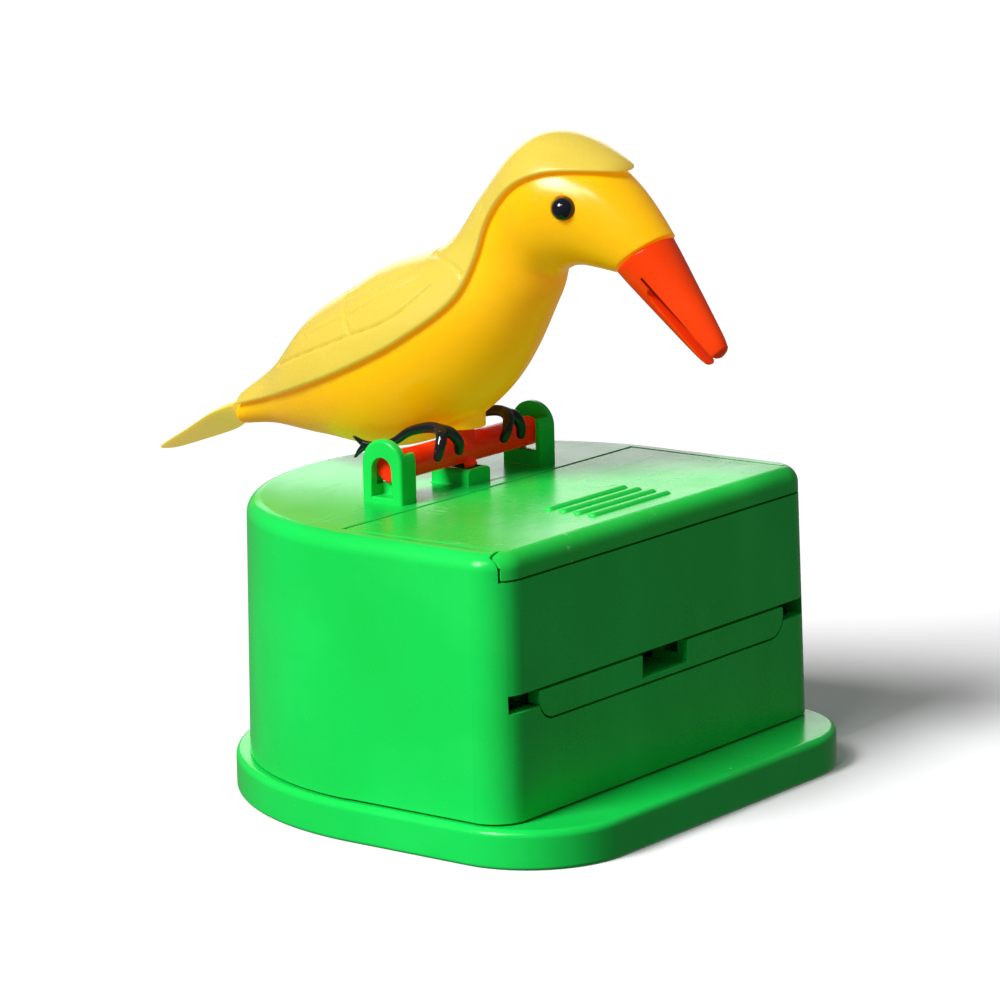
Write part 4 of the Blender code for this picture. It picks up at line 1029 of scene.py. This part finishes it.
    def tray_mesh(self) -> BMesh:
        """Tray with its toothpick groove, the gap for the beak and the slotted tongue."""
        form = self.tray
        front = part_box("tray")[0].y
        low, top = form.bottom_mm * MM, form.top_mm * MM
        groove_front = front + form.lip_mm * MM
        groove_back = groove_front + form.groove_mm * MM
        block_back = groove_back + form.wall_mm * MM
        deck_end = front + form.deck_length_mm * MM
        floor, deck = form.groove_floor_mm * MM, top - form.deck_mm * MM
        profile = [(front, low), (front, top), (groove_front, top), (groove_front, floor)]
        profile += [(groove_back, floor), (groove_back, top), (deck_end, top), (deck_end, deck)]
        profile += [(block_back, deck), (block_back, low)]
        wide = (form.half_width_mm + 1) * MM
        rounded = prism(form.front_outline(0.0, top + MM), Axis.Y, front - MM, deck_end + MM)
        steps = [(Cut.KEEP, rounded)]
        half = form.half_width_mm * MM
        skid_out = half - 0.2 * MM
        for span in mirror_spans(skid_out - form.skid_mm * MM, skid_out):
            skid_y = (front + form.skid_start_mm * MM, deck_end - GAP)
            steps.append((Cut.ADD, box(span, skid_y, (low, deck + 0.6 * MM))))
        tongue_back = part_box("tray")[1].y
        across = form.tongue_half_mm * MM
        tongue = box((-across, across), (block_back - 1.2 * MM, tongue_back),
                     (low + 0.05 * MM, low + form.deck_mm * MM))
        across = form.web_half_mm * MM
        web = box((-across, across), (block_back + 1.2 * MM, deck_end - 0.6 * MM),
                  (low + form.deck_mm * MM / 2, deck + form.deck_mm * MM / 2))
        across, gap_low = form.gap_half_mm * MM, low + form.gap_floor_mm * MM
        gap = box((-across, across), (front - MM, block_back + MM), (gap_low, top + MM))
        across, along = (size * MM for size in form.slot_mm)
        slot_back = tongue_back - form.slot_end_mm * MM
        slot = box((-across, across), (slot_back - along, slot_back), (low - MM, top))
        steps += [(Cut.ADD, tongue), (Cut.ADD, web), (Cut.REMOVE, gap), (Cut.REMOVE, slot)]
        bm = carve(prism(profile, Axis.X, -wide, wide), steps)
        return round_edges(bm, 0.2 * MM, 3, 60.0, 1.5)

    def build(self, dresser: Dresser) -> None:
        """Make and dress the green mouldings, and finish the white insert."""
        dresser.piece("base_moulding", self.base_plate(), GREEN, Body.CASE, ["base_plate"])
        dresser.piece("case_moulding", self.case(), GREEN, Body.CASE, ["case_shell"])
        dresser.piece("lid_moulding", self.lid(), GREEN_LID, Body.LID, ["lid"])
        for index in range(self.rib_count):
            name = f"lid_finger_rib_{index + 1}"
            dresser.piece(name, self.rib(index), GREEN_LID, Body.LID, [])
        dresser.piece("tray_moulding", self.tray_mesh(), GREEN, Body.TRAY, ["tray"])
        dresser.dress_solid("hopper_chute", WHITE)


# ---------------------------------------------------------------------------------------------
# Perch, bird and linkage
# ---------------------------------------------------------------------------------------------


@dataclass
class Perch:
    """Red rod between the ears, with the bird's peg above it and the drive nose below."""

    centre: Vector
    radius_mm: float = 2.05
    half_length_mm: float = 15.9
    peg_radius_mm: float = 2.0
    peg_top_mm: float = 8.0
    nose_reach_mm: float = 2.9
    nose_lean_deg: float = -27.5
    nose_half_mm: Point2 = (0.9, 0.5)
    nose_offset_mm: float = 0.65
    nose_root_mm: float = 0.5
    bore_mm: float = 1.1

    def rod(self) -> BMesh:
        """The rod with softly rounded ends, its peg and its nose."""
        length = 2 * self.half_length_mm * MM
        rod = bar(Axis.X, self.centre, self.radius_mm * MM, length, 96)
        round_edges(rod, 0.35 * MM, 5)
        peg_middle = self.centre + Vector((0, 0, self.peg_top_mm * MM / 2))
        peg = bar(Axis.Z, peg_middle, self.peg_radius_mm * MM, self.peg_top_mm * MM, 48)
        across, along = (size * MM for size in self.nose_half_mm)
        offset = self.nose_offset_mm * MM
        nose = box((-across, across), (-offset - along, -offset + along),
                   (-self.nose_reach_mm * MM, -self.nose_root_mm * MM))
        lean = Matrix.Rotation(math.radians(self.nose_lean_deg), 4, "X")
        nose = moved(round_edges(nose, 0.15 * MM), Matrix.Translation(self.centre) @ lean)
        bore_middle = self.centre + Vector((0, 0, self.peg_top_mm * MM))
        bore = bar(Axis.Z, bore_middle, self.bore_mm * MM, 9 * MM, 32)
        return carve(rod, [(Cut.ADD, peg), (Cut.ADD, nose), (Cut.REMOVE, bore)])

    def build(self, dresser: Dresser) -> None:
        """Make and dress the rod."""
        dresser.piece("perch_bar", self.rod(), ROD_RED, Body.BIRD, ["perch_rod"])


@dataclass
class Feet:
    """Two black wire-like feet: a fork behind, an arch over the rod and two toes in front.

    Every path point gives X outwards from the foot's middle, Y, Z and the wire's radius, all in
    millimetres from the perch axis.
    """

    centre: Vector
    side_mm: float = 7.35
    arch: tuple[tuple[float, ...], ...] = (
        (1.0, 10.2, 0.9, 0.50), (0.5, 8.0, 1.0, 0.55), (0.1, 5.6, 1.7, 0.60), (0.0, 3.0, 3.3, 0.68),
        (0.0, -0.6, 4.25, 0.80), (0.0, -2.9, 3.95, 0.82),
    )
    claw_up: tuple[tuple[float, ...], ...] = (
        (0.6, 8.6, 0.9, 0.50), (1.2, 10.1, 1.1, 0.50), (1.9, 11.3, 2.1, 0.20),
    )
    claw_down: tuple[tuple[float, ...], ...] = (
        (0.7, 8.9, 0.9, 0.50), (1.2, 10.3, 0.5, 0.50), (1.4, 11.6, -0.9, 0.20),
    )
    toe_near: tuple[tuple[float, ...], ...] = (
        (0.1, -2.2, 4.1, 0.82), (0.9, -3.3, 3.5, 0.82), (1.7, -3.6, 2.1, 0.76),
        (2.0, -3.4, 0.7, 0.64),
    )
    toe_far: tuple[tuple[float, ...], ...] = (
        (-0.1, -2.2, 4.1, 0.82), (-0.9, -3.5, 3.6, 0.82), (-1.9, -4.0, 2.2, 0.76),
        (-2.3, -3.7, 0.9, 0.64),
    )
    blend_mm: float = 0.13

    def wire(self, path: Sequence[Sequence[float]], side: int) -> BMesh:
        """Round wire along a smooth path, its ends domed.

        Args:
            path: Rows of outward X, Y, Z and radius in millimetres.
            side: -1 for the left foot, 1 for the right one.

        Returns:
            The closed wire.
        """
        steps = 8 * (len(path) - 1)
        stations = []
        for i in range(steps + 1):
            out, y, z, radius = smooth_path(path, i / steps)
            spot = self.centre + Vector((side * (self.side_mm + out), y, z)) * MM
            stations.append((spot, radius * MM))
        first, last = stations[0], stations[-1]
        head = (first[0] - stations[1][0]).normalized()
        tail = (last[0] - stations[-2][0]).normalized()
        domes = [(0.97, 0.30), (0.75, 0.68), (0.40, 0.92)]
        start = [(first[0] + head * first[1] * f, first[1] * r) for f, r in domes]
        end = [(last[0] + tail * last[1] * f, last[1] * r) for f, r in reversed(domes)]
        stations = start + stations + end
        rings = []
        for i, (spot, radius) in enumerate(stations):
            ahead = stations[min(i + 1, len(stations) - 1)][0] - stations[max(i - 1, 0)][0]
            across = ahead.cross(Vector((1, 0, 0))).normalized()
            over = ahead.cross(across).normalized()
            ring = []
            for k in range(16):
                around = 2 * math.pi * k / 16
                ring.append(spot + radius * (math.cos(around) * across + math.sin(around) * over))
            rings.append(ring)
        return loft(rings)

    def foot(self, side: int) -> BMesh:
        """One foot: its wires melted together where they meet."""
        paths = (self.arch, self.claw_up, self.claw_down, self.toe_near, self.toe_far)
        wires = [self.wire(path, side) for path in paths]
        holder = temporary("foot", wires[0])
        tools = [add_cut(holder, Cut.ADD, wire) for wire in wires[1:]]
        melt = holder.modifiers.new("melt", "REMESH")
        melt.mode = "VOXEL"
        melt.voxel_size = self.blend_mm * MM
        relax = holder.modifiers.new("relax", "SMOOTH")
        relax.iterations = 5
        relax.factor = 0.5
        return worked_out(holder, tools)

    def build(self, dresser: Dresser) -> None:
        """Make and dress both feet."""
        for name, side in (("left", -1), ("right", 1)):
            dresser.piece(f"foot_wire_{name}", self.foot(side), FOOT_BLACK, Body.BIRD,
                          [f"foot_{name}"], 80.0)


@dataclass
class Bird:
    """Hollow two-shell bird with a forked beak, bead eyes and a keeled tail.

    Section rows give back and up from the perch axis, half-height, half-width (mm) and the lean
    of the section's top in degrees from +Y.
    """

    centre: Vector
    sections: tuple[tuple[float, ...], ...] = (
        (-31.7, 29.6, 4.7, 4.5, 144), (-24.4, 34.3, 7.2, 6.7, 106), (-17.8, 35.2, 8.6, 8.0, 80),
        (-12.9, 31.1, 7.2, 6.9, 49), (-8.9, 25.2, 7.9, 7.7, 29), (0.6, 16.4, 11.1, 11.1, 50),
        (10.8, 10.9, 11.4, 11.4, 75), (22.7, 8.2, 8.3, 8.3, 88), (31.8, 4.4, 4.0, 4.0, 97),
        (38.6, 1.5, 1.7, 2.3, 88),
    )
    parting: tuple[Point2, ...] = (
        (-31.6, 39.9), (-26.6, 40.6), (-20.2, 40.3), (-15.1, 38.0), (-11.1, 33.9), (-9.3, 28.3),
        (-7.6, 24.1), (-5.3, 21.3), (-1.1, 18.1), (4.4, 14.8), (12.4, 11.2), (21.4, 7.9),
        (30.9, 4.9), (40.0, 2.4),
    )
    collar: tuple[Point2, ...] = (
        (3.5, 29.6), (1.8, 28.8), (0.4, 27.8), (-2.8, 27.7), (-5.2, 27.2), (-7.1, 26.5),
        (-8.4, 25.3),
    )
    feathers: tuple[tuple[Point2, ...], ...] = (
        ((13.1, 21.2), (9.0, 22.9), (5.8, 24.4), (3.0, 25.7)),
        ((21.5, 14.9), (16.1, 17.1), (11.7, 19.0), (7.1, 21.3), (3.1, 23.4), (-0.3, 25.4)),
        ((27.0, 10.2), (17.6, 13.7), (9.9, 16.6), (5.5, 18.2), (1.9, 20.0), (-0.4, 22.0),
         (-2.7, 24.2)),
        ((14.3, 21.0), (12.4, 19.2), (9.6, 16.9)),
    )
    tail_rows: tuple[tuple[float, ...], ...] = (
        (38.7, 3.2, 2.8, 3.4), (41.0, 2.2, 5.2, 3.7), (47.0, -1.2, 4.1, 2.4), (52.0, -3.7, 2.3, 1.5),
        (55.0, -5.2, 0.6, 0.5),
    )
    skin_low_mm: float = 0.3
    skin_high_mm: float = 1.2
    wall_mm: float = 1.6
    groove_mm: float = 0.34
    groove_half_mm: float = 0.42
    beak_length_mm: float = 17.6
    beak_drop_deg: float = 48.0
    beak_half_mm: float = 4.35
    slit_start_mm: float = 5.2
    slit_half_mm: float = 0.6
    eye_mm: tuple[float, float, float] = (6.75, -23.4, 35.8)
    eye_radius_mm: float = 1.6
    eye_play_mm: float = 0.12
    boss_radius_mm: float = 3.6
    boss_mm: Point2 = (3.25, 8.0)
    bore_radius_mm: float = 2.3
    saddle_radius_mm: float = 2.35
    socket_radius_mm: float = 3.0
    plug_radius_mm: float = 2.7
    slit_shift_mm: float = 0.7
    feather_area_mm: tuple[Point2, Point2] = ((-10.0, 8.5), (28.5, 30.5))

    def section(self, position: float) -> tuple[Vector, Vector, float, float]:
        """Centre, upward direction, half-height and half-width of a section."""
        back, up, height, width, lean = smooth_path(self.sections, position)
        angle = math.radians(lean)
        spot = self.centre + Vector((0, back, up)) * MM
        return spot, Vector((0, math.cos(angle), math.sin(angle))), height * MM, width * MM

    def ring(self, position: float, grow: float, sides: int) -> list[Vector]:
        """One whole elliptical section, its half sizes changed by grow."""
        spot, rise, height, width = self.section(position)
        ring = []
        for i in range(sides):
            around = 2 * math.pi * i / sides
            across = Vector(((width + grow) * math.sin(around), 0, 0))
            ring.append(spot + rise * (height + grow) * math.cos(around) + across)
        return ring

    def body_loft(self, grow: float, start: float, end: float, steps: int, sides: int) -> BMesh:
        """Solid body between two positions along the sections."""
        places = [start + (end - start) * i / steps for i in range(steps + 1)]
        return loft([self.ring(position, grow, sides) for position in places])

    def beak_axes(self) -> Matrix:
        """Axes across X, up the beak's face and along the beak, from the joint's centre."""
        drop = math.radians(self.beak_drop_deg)
        ahead = Vector((0, -math.cos(drop), -math.sin(drop)))
        over = Vector((0, -math.sin(drop), math.cos(drop)))
        basis = Matrix((Vector((1, 0, 0)), over, ahead)).transposed().to_4x4()
        return Matrix.Translation(self.section(0.0)[0]) @ basis

    def eye_centre(self, side: int) -> Vector:
        """Middle of an eye bead."""
        x, y, z = self.eye_mm
        return self.centre + Vector((side * x, y, z)) * MM

    def belly(self) -> BMesh:
        """Face and underside: a hollow shell with a saddle, a boss and sockets."""
        y, z = self.centre.y, self.centre.z
        inside = self.body_loft(-self.wall_mm * MM, 0.12, 0.86, 70, 56)
        opening = box((-4.5 * MM, 4.5 * MM), (y + 2 * MM, y + 20 * MM), (z + 13 * MM, z + 45 * MM))
        low, high = (height * MM for height in self.boss_mm)
        middle = self.centre + Vector((0, 0, (low + high) / 2))
        boss = bar(Axis.Z, middle, self.boss_radius_mm * MM, high - low, 48)
        middle = self.centre + Vector((0, 0, high / 2))
        bore = bar(Axis.Z, middle, self.bore_radius_mm * MM, 1.5 * high, 48)
        saddle = bar(Axis.X, self.centre, self.saddle_radius_mm * MM, 60 * MM, 64)
        socket = bar(Axis.Z, Vector(), self.socket_radius_mm * MM, 5.8 * MM, 48)
        moved(socket, self.beak_axes())
        steps = [(Cut.REMOVE, inside), (Cut.REMOVE, opening), (Cut.ADD, boss), (Cut.REMOVE, bore)]
        steps += [(Cut.REMOVE, saddle), (Cut.REMOVE, socket)]
        for side in (-1, 1):
            radius = (self.eye_radius_mm + self.eye_play_mm) * MM
            steps.append((Cut.REMOVE, ball(self.eye_centre(side), radius)))
        return round_edges(carve(self.body_loft(0.0, 0.0, 1.0, 170, 112), steps), 0.12 * MM, 2)

    def edge_height(self, position: float, edge: Sequence[Vector]) -> float:
        """Where the parting edge crosses a section, along the section's upward direction.

        Args:
            position: Position of the section.
            edge: Points of the parting edge in the middle plane.

        Returns:
            Signed distance from the section's centre, or infinity if they don't cross.
        """
        spot, rise, height, _ = self.section(position)
        ahead = Vector((0, -rise.z, rise.y))
        best = math.inf
        for a, b in zip(edge, edge[1:]):
            side_a, side_b = (a - spot).dot(ahead), (b - spot).dot(ahead)
            if side_a * side_b > 0 or side_a == side_b:
                continue
            crossing = a.lerp(b, side_a / (side_a - side_b))
            level = (crossing - spot).dot(rise)
            if abs(level) <= height * 1.6 and (best == math.inf or level > best):
                best = level
        return best

    def skin_ring(self, position: float, level: float, pinch: float, sides: int) -> list[Vector]:
        """Closed C-shaped section of the back shell: outer skin, rolled edges and inner skin.

        Args:
            position: Position of the section.
            level: Height of the lower edge above the section's centre.
            pinch: Share of the full thickness, less than 1 near the ends.
            sides: Points across the outer skin.

        Returns:
            Points round the section.
        """
        spot, rise, height, width = self.section(position)
        middle = (self.skin_low_mm + self.skin_high_mm) / 2 * MM
        half = (self.skin_high_mm - self.skin_low_mm) / 2 * MM * pinch

        def at(up: float, grow: float, side: int) -> Vector:
            """Point on the skin at a height and growth."""
            share = max(-1.0, min(1.0, up / (height + grow)))
            out = side * (width + grow) * math.sqrt(1 - share * share)
            return spot + rise * up + Vector((out, 0, 0))

        def across(grow: float, low: float, count: int, side: int) -> list[Vector]:
            """Points from the left edge to the right one, over the top."""
            reach = math.acos(max(-1.0, min(1.0, low / (height + grow))))
            points = []
            for k in range(count):
                angle = side * reach * (1 - 2 * (k + 0.5) / count)
                up = rise * (height + grow) * math.cos(angle)
                points.append(spot + up + Vector(((width + grow) * math.sin(angle), 0, 0)))
            return points

        def roll(side: int) -> list[Vector]:
            """Half-round edge from the outer skin to the inner one."""
            points = []
            for k in range(9):
                angle = math.pi * k / 8
                up = level + half * (1 - math.sin(angle))
                points.append(at(up, middle + half * math.cos(angle), side))
            return points

        ring = across(middle + half, level + half, sides, -1)
        ring += roll(1)
        ring += across(middle - half, level + half, 24, 1)
        ring += list(reversed(roll(-1)))
        return ring

    def back(self) -> BMesh:
        """Crown, nape and wings with rolled lower edges and engraved feathers."""
        fine = [smooth_path(self.parting, i / 260) for i in range(261)]
        edge = [self.centre + Vector((0, y, z)) * MM for y, z in fine]
        middle = (self.skin_low_mm + self.skin_high_mm) / 2 * MM

        def closed(position: float) -> bool:
            """True where the parting edge lies above the section's top."""
            level = self.edge_height(position, edge)
            return level >= self.section(position)[2] + middle

        low, high = 0.03, 0.12
        for _ in range(40):
            half_way = (low + high) / 2
            if closed(half_way):
                low = half_way
            else:
                high = half_way
        start, end, nose, heel = high + 1e-4, 0.985, 0.013, 0.012
        steps, sides, close = 300, 150, 0.08
        rings = []
        for i in range(steps + 1):
            t = i / steps
            eased = t * t * (1 + close) / (t + close)
            position = start + (end - start) * eased
            level = self.edge_height(position, edge)
            first = min(1.0, (position - start) / nose + 0.004)
            last = min(1.0, (end - position) / heel + 0.02)
            pinch = math.sqrt(1 - (1 - first) ** 2) * math.sqrt(1 - (1 - last) ** 2)
            rings.append(self.skin_ring(position, level, pinch, sides))
        bm = loft(rings)
        self.engrave(bm, len(rings[0]), sides)
        return bm

    def engrave(self, bm: BMesh, ring_size: int, outer: int) -> None:
        """Press the feather grooves and the collar line into the back shell.

        Args:
            bm: The back shell, its vertices ring after ring.
            ring_size: Points in one ring.
            outer: How many of them, the first ones, lie on the outer skin.
        """
        lines = []
        for row in (*self.feathers, self.collar):
            count = 6 * (len(row) - 1)
            lines.append([Vector(smooth_path(row, i / count)) for i in range(count + 1)])
        bm.normal_update()
        low, high = self.feather_area_mm
        moves = []
        for index, vert in enumerate(bm.verts):
            if index % ring_size >= outer:
                continue
            spot = Vector(((vert.co.y - self.centre.y) / MM, (vert.co.z - self.centre.z) / MM))
            if not (low[0] < spot.x < high[0] and low[1] < spot.y < high[1]):
                continue
            depth = max(self.groove_depth(spot, line) for line in lines)
            if depth > 0.0:
                moves.append((vert, -vert.normal * depth * MM))
        for vert, move in moves:
            vert.co += move

    def groove_depth(self, spot: Vector, line: Sequence[Vector]) -> float:
        """Depth of a groove at a point in side view, in millimetres."""
        nearest = math.inf
        for a, b in zip(line, line[1:]):
            run = b - a
            share = max(0.0, min(1.0, (spot - a).dot(run) / run.length_squared))
            nearest = min(nearest, (spot - a - run * share).length)
        if nearest >= self.groove_half_mm:
            return 0.0
        wave = 0.5 + 0.5 * math.cos(math.pi * nearest / self.groove_half_mm)
        return self.groove_mm * wave

    def beak(self) -> BMesh:
        """Tapering forked beak with a round plug behind and one slit from side to side."""
        stages = ((-0.30, 1.0, 1.0), (0.0, 1.0, 1.0), (0.5, 0.76, 0.68), (0.86, 0.56, 0.44),
                  (0.955, 0.47, 0.36))
        length, half = self.beak_length_mm * MM, self.beak_half_mm * MM
        rows = [smooth_path(stages, i / 40) for i in range(41)]
        base = rows[-1]
        for i in range(1, 9):
            angle = math.pi / 2 * i / 8.4
            along = base[0] + (1 - base[0]) * math.sin(angle)
            rows.append([along, base[1] * math.cos(angle) ** 0.7, base[2] * math.cos(angle) ** 0.8])
        axes = self.beak_axes()
        rings = []
        for along, height, width in rows:
            ring = []
            for i in range(64):
                around = 2 * math.pi * i / 64
                across, over = width * math.sin(around), height * math.cos(around)
                ring.append(axes @ Vector((half * across, half * over, length * along)))
            rings.append(ring)
        lean = math.radians(self.sections[0][4])
        facing = Vector((0, -math.sin(lean), math.cos(lean))).to_track_quat("Z", "X")
        joint = Matrix.Translation(self.section(0.0)[0]) @ facing.to_matrix().to_4x4()
        wide = (-20 * MM, 20 * MM)
        trim = moved(box(wide, wide, (-30 * MM, GAP)), joint)
        plug = bar(Axis.Z, Vector((0, 0, 0.2 * MM)), self.plug_radius_mm * MM, 5.6 * MM, 48)
        moved(plug, axes)
        slit_half, start = self.slit_half_mm * MM, self.slit_start_mm * MM
        outline = [(slit_half * 1.25, length + 3 * MM), (-slit_half * 1.25, length + 3 * MM)]
        outline += arc((0.0, start + slit_half), slit_half, 180, 360, 12)
        slit = prism(outline, Axis.X, -10 * MM, 10 * MM)
        moved(slit, axes @ Matrix.Translation((0, -self.slit_shift_mm * MM, 0)))
        steps = [(Cut.REMOVE, trim), (Cut.ADD, plug), (Cut.REMOVE, slit)]
        return round_edges(carve(loft(rings), steps), 0.2 * MM, 4)

    def tail(self) -> BMesh:
        """Keeled leaf blade that tapers to a point."""
        shape = ((-1.0, -0.12), (-0.78, -0.02), (-0.4, 0.03), (0.0, 0.06), (0.4, 0.03), (0.78, -0.02),
                 (1.0, -0.12), (0.72, -0.42), (0.4, -0.74), (0.0, -1.0), (-0.4, -0.74), (-0.72, -0.42))
        rings = []
        for i in range(61):
            back, top, width, keel = smooth_path(self.tail_rows, i / 60)
            spot = self.centre + Vector((0, back, top)) * MM
            rings.append([spot + Vector((x * width, 0, z * keel)) * MM for x, z in shape])
        return round_edges(loft(rings), 0.22 * MM, 4, 30.0)

    def build(self, dresser: Dresser) -> None:
        """Make and dress the bird."""
        # The back's and tail's slot is the belly's yellow with painted sheen and painted light in its
        # colour.
        yellow, pale, orange = "yellow_plastic", "pale_yellow_plastic", "orange_plastic"
        rows = (
            ("belly_moulding", self.belly(), BELLY_YELLOW, yellow, "belly_shell", 40.0),
            ("back_moulding", self.back(), BACK_YELLOW_PAINTED_SHEEN, pale, "back_shell", 60.0),
            ("tail_blade", self.tail(), TAIL_YELLOW_PAINTED_LIGHT, pale, "tail", 40.0),
            ("beak_moulding", self.beak(), BEAK_ORANGE, orange, "beak", 40.0),
        )
        for name, bm, finish, slot, node, smooth_deg in rows:
            dresser.piece(name, bm, finish, Body.BIRD, [node], smooth_deg)
        for name, side in (("left", -1), ("right", 1)):
            bead = ball(self.eye_centre(side), self.eye_radius_mm * MM)
            dresser.piece(f"eye_bead_{name}", bead, EYE_BLACK, Body.BIRD,
                          [f"eye_{name}"])


@dataclass
class Linkage:
    """Hidden works that keep their solids: rocker, pin, spring and screws."""

    steel_parts: tuple[str, ...] = (
        "rocker_pin", "return_spring", "bird_screw", "base_screw_front_left",
        "base_screw_front_right", "base_screw_rear_left", "base_screw_rear_right",
    )
    white_parts: tuple[str, ...] = ("rocker",)

    def build(self, dresser: Dresser) -> None:
        """Dress the works."""
        for node in self.steel_parts:
            dresser.dress_solid(node, STEEL)
        for node in self.white_parts:
            dresser.dress_solid(node, WHITE)


# ---------------------------------------------------------------------------------------------
# Studio
# ---------------------------------------------------------------------------------------------


@dataclass
class Studio:
    """Pale floor, soft light and the camera."""

    camera_place: tuple[float, float, float] = (-0.47807, -0.36858, 0.16570)
    camera_aim: tuple[float, float, float] = (0.00085, 0.00020, 0.03897)
    camera_roll_deg: float = -1.2
    lens_mm: float = 161.83
    floor_half: float = 6.0
    key_strength: float = 4.5
    key_place: tuple[float, float, float] = (-0.80, 0.18, 0.72)
    key_spread_deg: float = 24.0
    sky: float = 0.16

    def floor(self) -> None:
        """Wide floor just under the base."""
        bm = bmesh.new()
        size = self.floor_half
        bmesh.ops.create_grid(bm, x_segments=2, y_segments=2, size=size)
        floor = temporary("studio_floor", bm)
        floor.data.materials.append(Paper().build())
        floor.visible_diffuse = False
        floor.visible_glossy = False

    def camera(self) -> None:
        """Long lens from the front left, a little above."""
        data = bpy.data.cameras.new("camera")
        data.lens = self.lens_mm
        data.sensor_width = 36.0
        data.clip_start = 0.01
        data.clip_end = 50.0
        camera = bpy.data.objects.new("camera", data)
        bpy.context.scene.collection.objects.link(camera)
        aim = (Vector(self.camera_aim) - Vector(self.camera_place)).to_track_quat("-Z", "Y")
        roll = Matrix.Rotation(math.radians(self.camera_roll_deg), 4, "Z")
        stand = Matrix.Translation(self.camera_place)
        camera.matrix_world = stand @ aim.to_matrix().to_4x4() @ roll
        bpy.context.scene.camera = camera

    def lamp(self, name: str, kind: str, place_at: Sequence[float], strength: float, size: float,
             colour: Colour = (1.0, 1.0, 1.0)) -> None:
        """Add a lamp that faces the object.

        Args:
            name: Its name.
            kind: SUN or AREA.
            place_at: Where it stands.
            strength: Energy in Blender's unit for its kind.
            size: Spread in degrees for a sun, or width in metres for an area lamp.
            colour: Its colour.
        """
        data = bpy.data.lights.new(name, kind)
        data.energy = strength
        data.color = colour
        if kind == "SUN":
            data.angle = math.radians(size)
        else:
            data.shape = "RECTANGLE"
            data.size = size
            data.size_y = size * 0.6
        lamp = bpy.data.objects.new(name, data)
        bpy.context.scene.collection.objects.link(lamp)
        facing = (Vector((0, 0, 0.04)) - Vector(place_at)).to_track_quat("-Z", "Y")
        lamp.matrix_world = Matrix.Translation(place_at) @ facing.to_matrix().to_4x4()

    def light(self) -> None:
        """Soft key from the left, a small glint lamp and an even sky."""
        self.lamp("key", "SUN", self.key_place, self.key_strength, self.key_spread_deg)
        self.lamp("glint", "AREA", (-0.42, -0.12, 0.50), 0.5, 0.10)
        self.lamp("back_sheen", "AREA", (0.90, 0.75, 0.30), 1.7, 0.70)
        world = bpy.data.worlds.new("studio_sky")
        world.use_nodes = True
        tree = world.node_tree
        background = tree.nodes["Background"]
        background.inputs["Color"].default_value = (1.0, 1.0, 1.0, 1.0)
        strength = tree.nodes.new("ShaderNodeMapRange")
        strength.inputs["To Min"].default_value = self.sky
        strength.inputs["To Max"].default_value = 1.0
        seen = tree.nodes.new("ShaderNodeLightPath").outputs["Is Camera Ray"]
        tree.links.new(seen, strength.inputs["Value"])
        tree.links.new(strength.outputs["Result"], background.inputs["Strength"])
        bpy.context.scene.world = world
        bpy.context.scene.view_settings.view_transform = "Standard"

    def build(self) -> None:
        """Set up the studio."""
        self.floor()
        self.camera()
        self.light()


def main() -> None:
    """Build the studio, then every sub-assembly in order."""
    logging.basicConfig(level=logging.INFO, format="%(name)s: %(message)s")
    perch, pivot = joint_place("bow"), joint_place("rocker_turn")
    dresser = Dresser()
    Studio().build()
    Housing(CaseForm(), TrayForm(), perch, pivot).build(dresser)
    Perch(perch).build(dresser)
    Bird(perch).build(dresser)
    Feet(perch).build(dresser)
    Linkage().build(dresser)


if __name__ == "__main__":
    main()
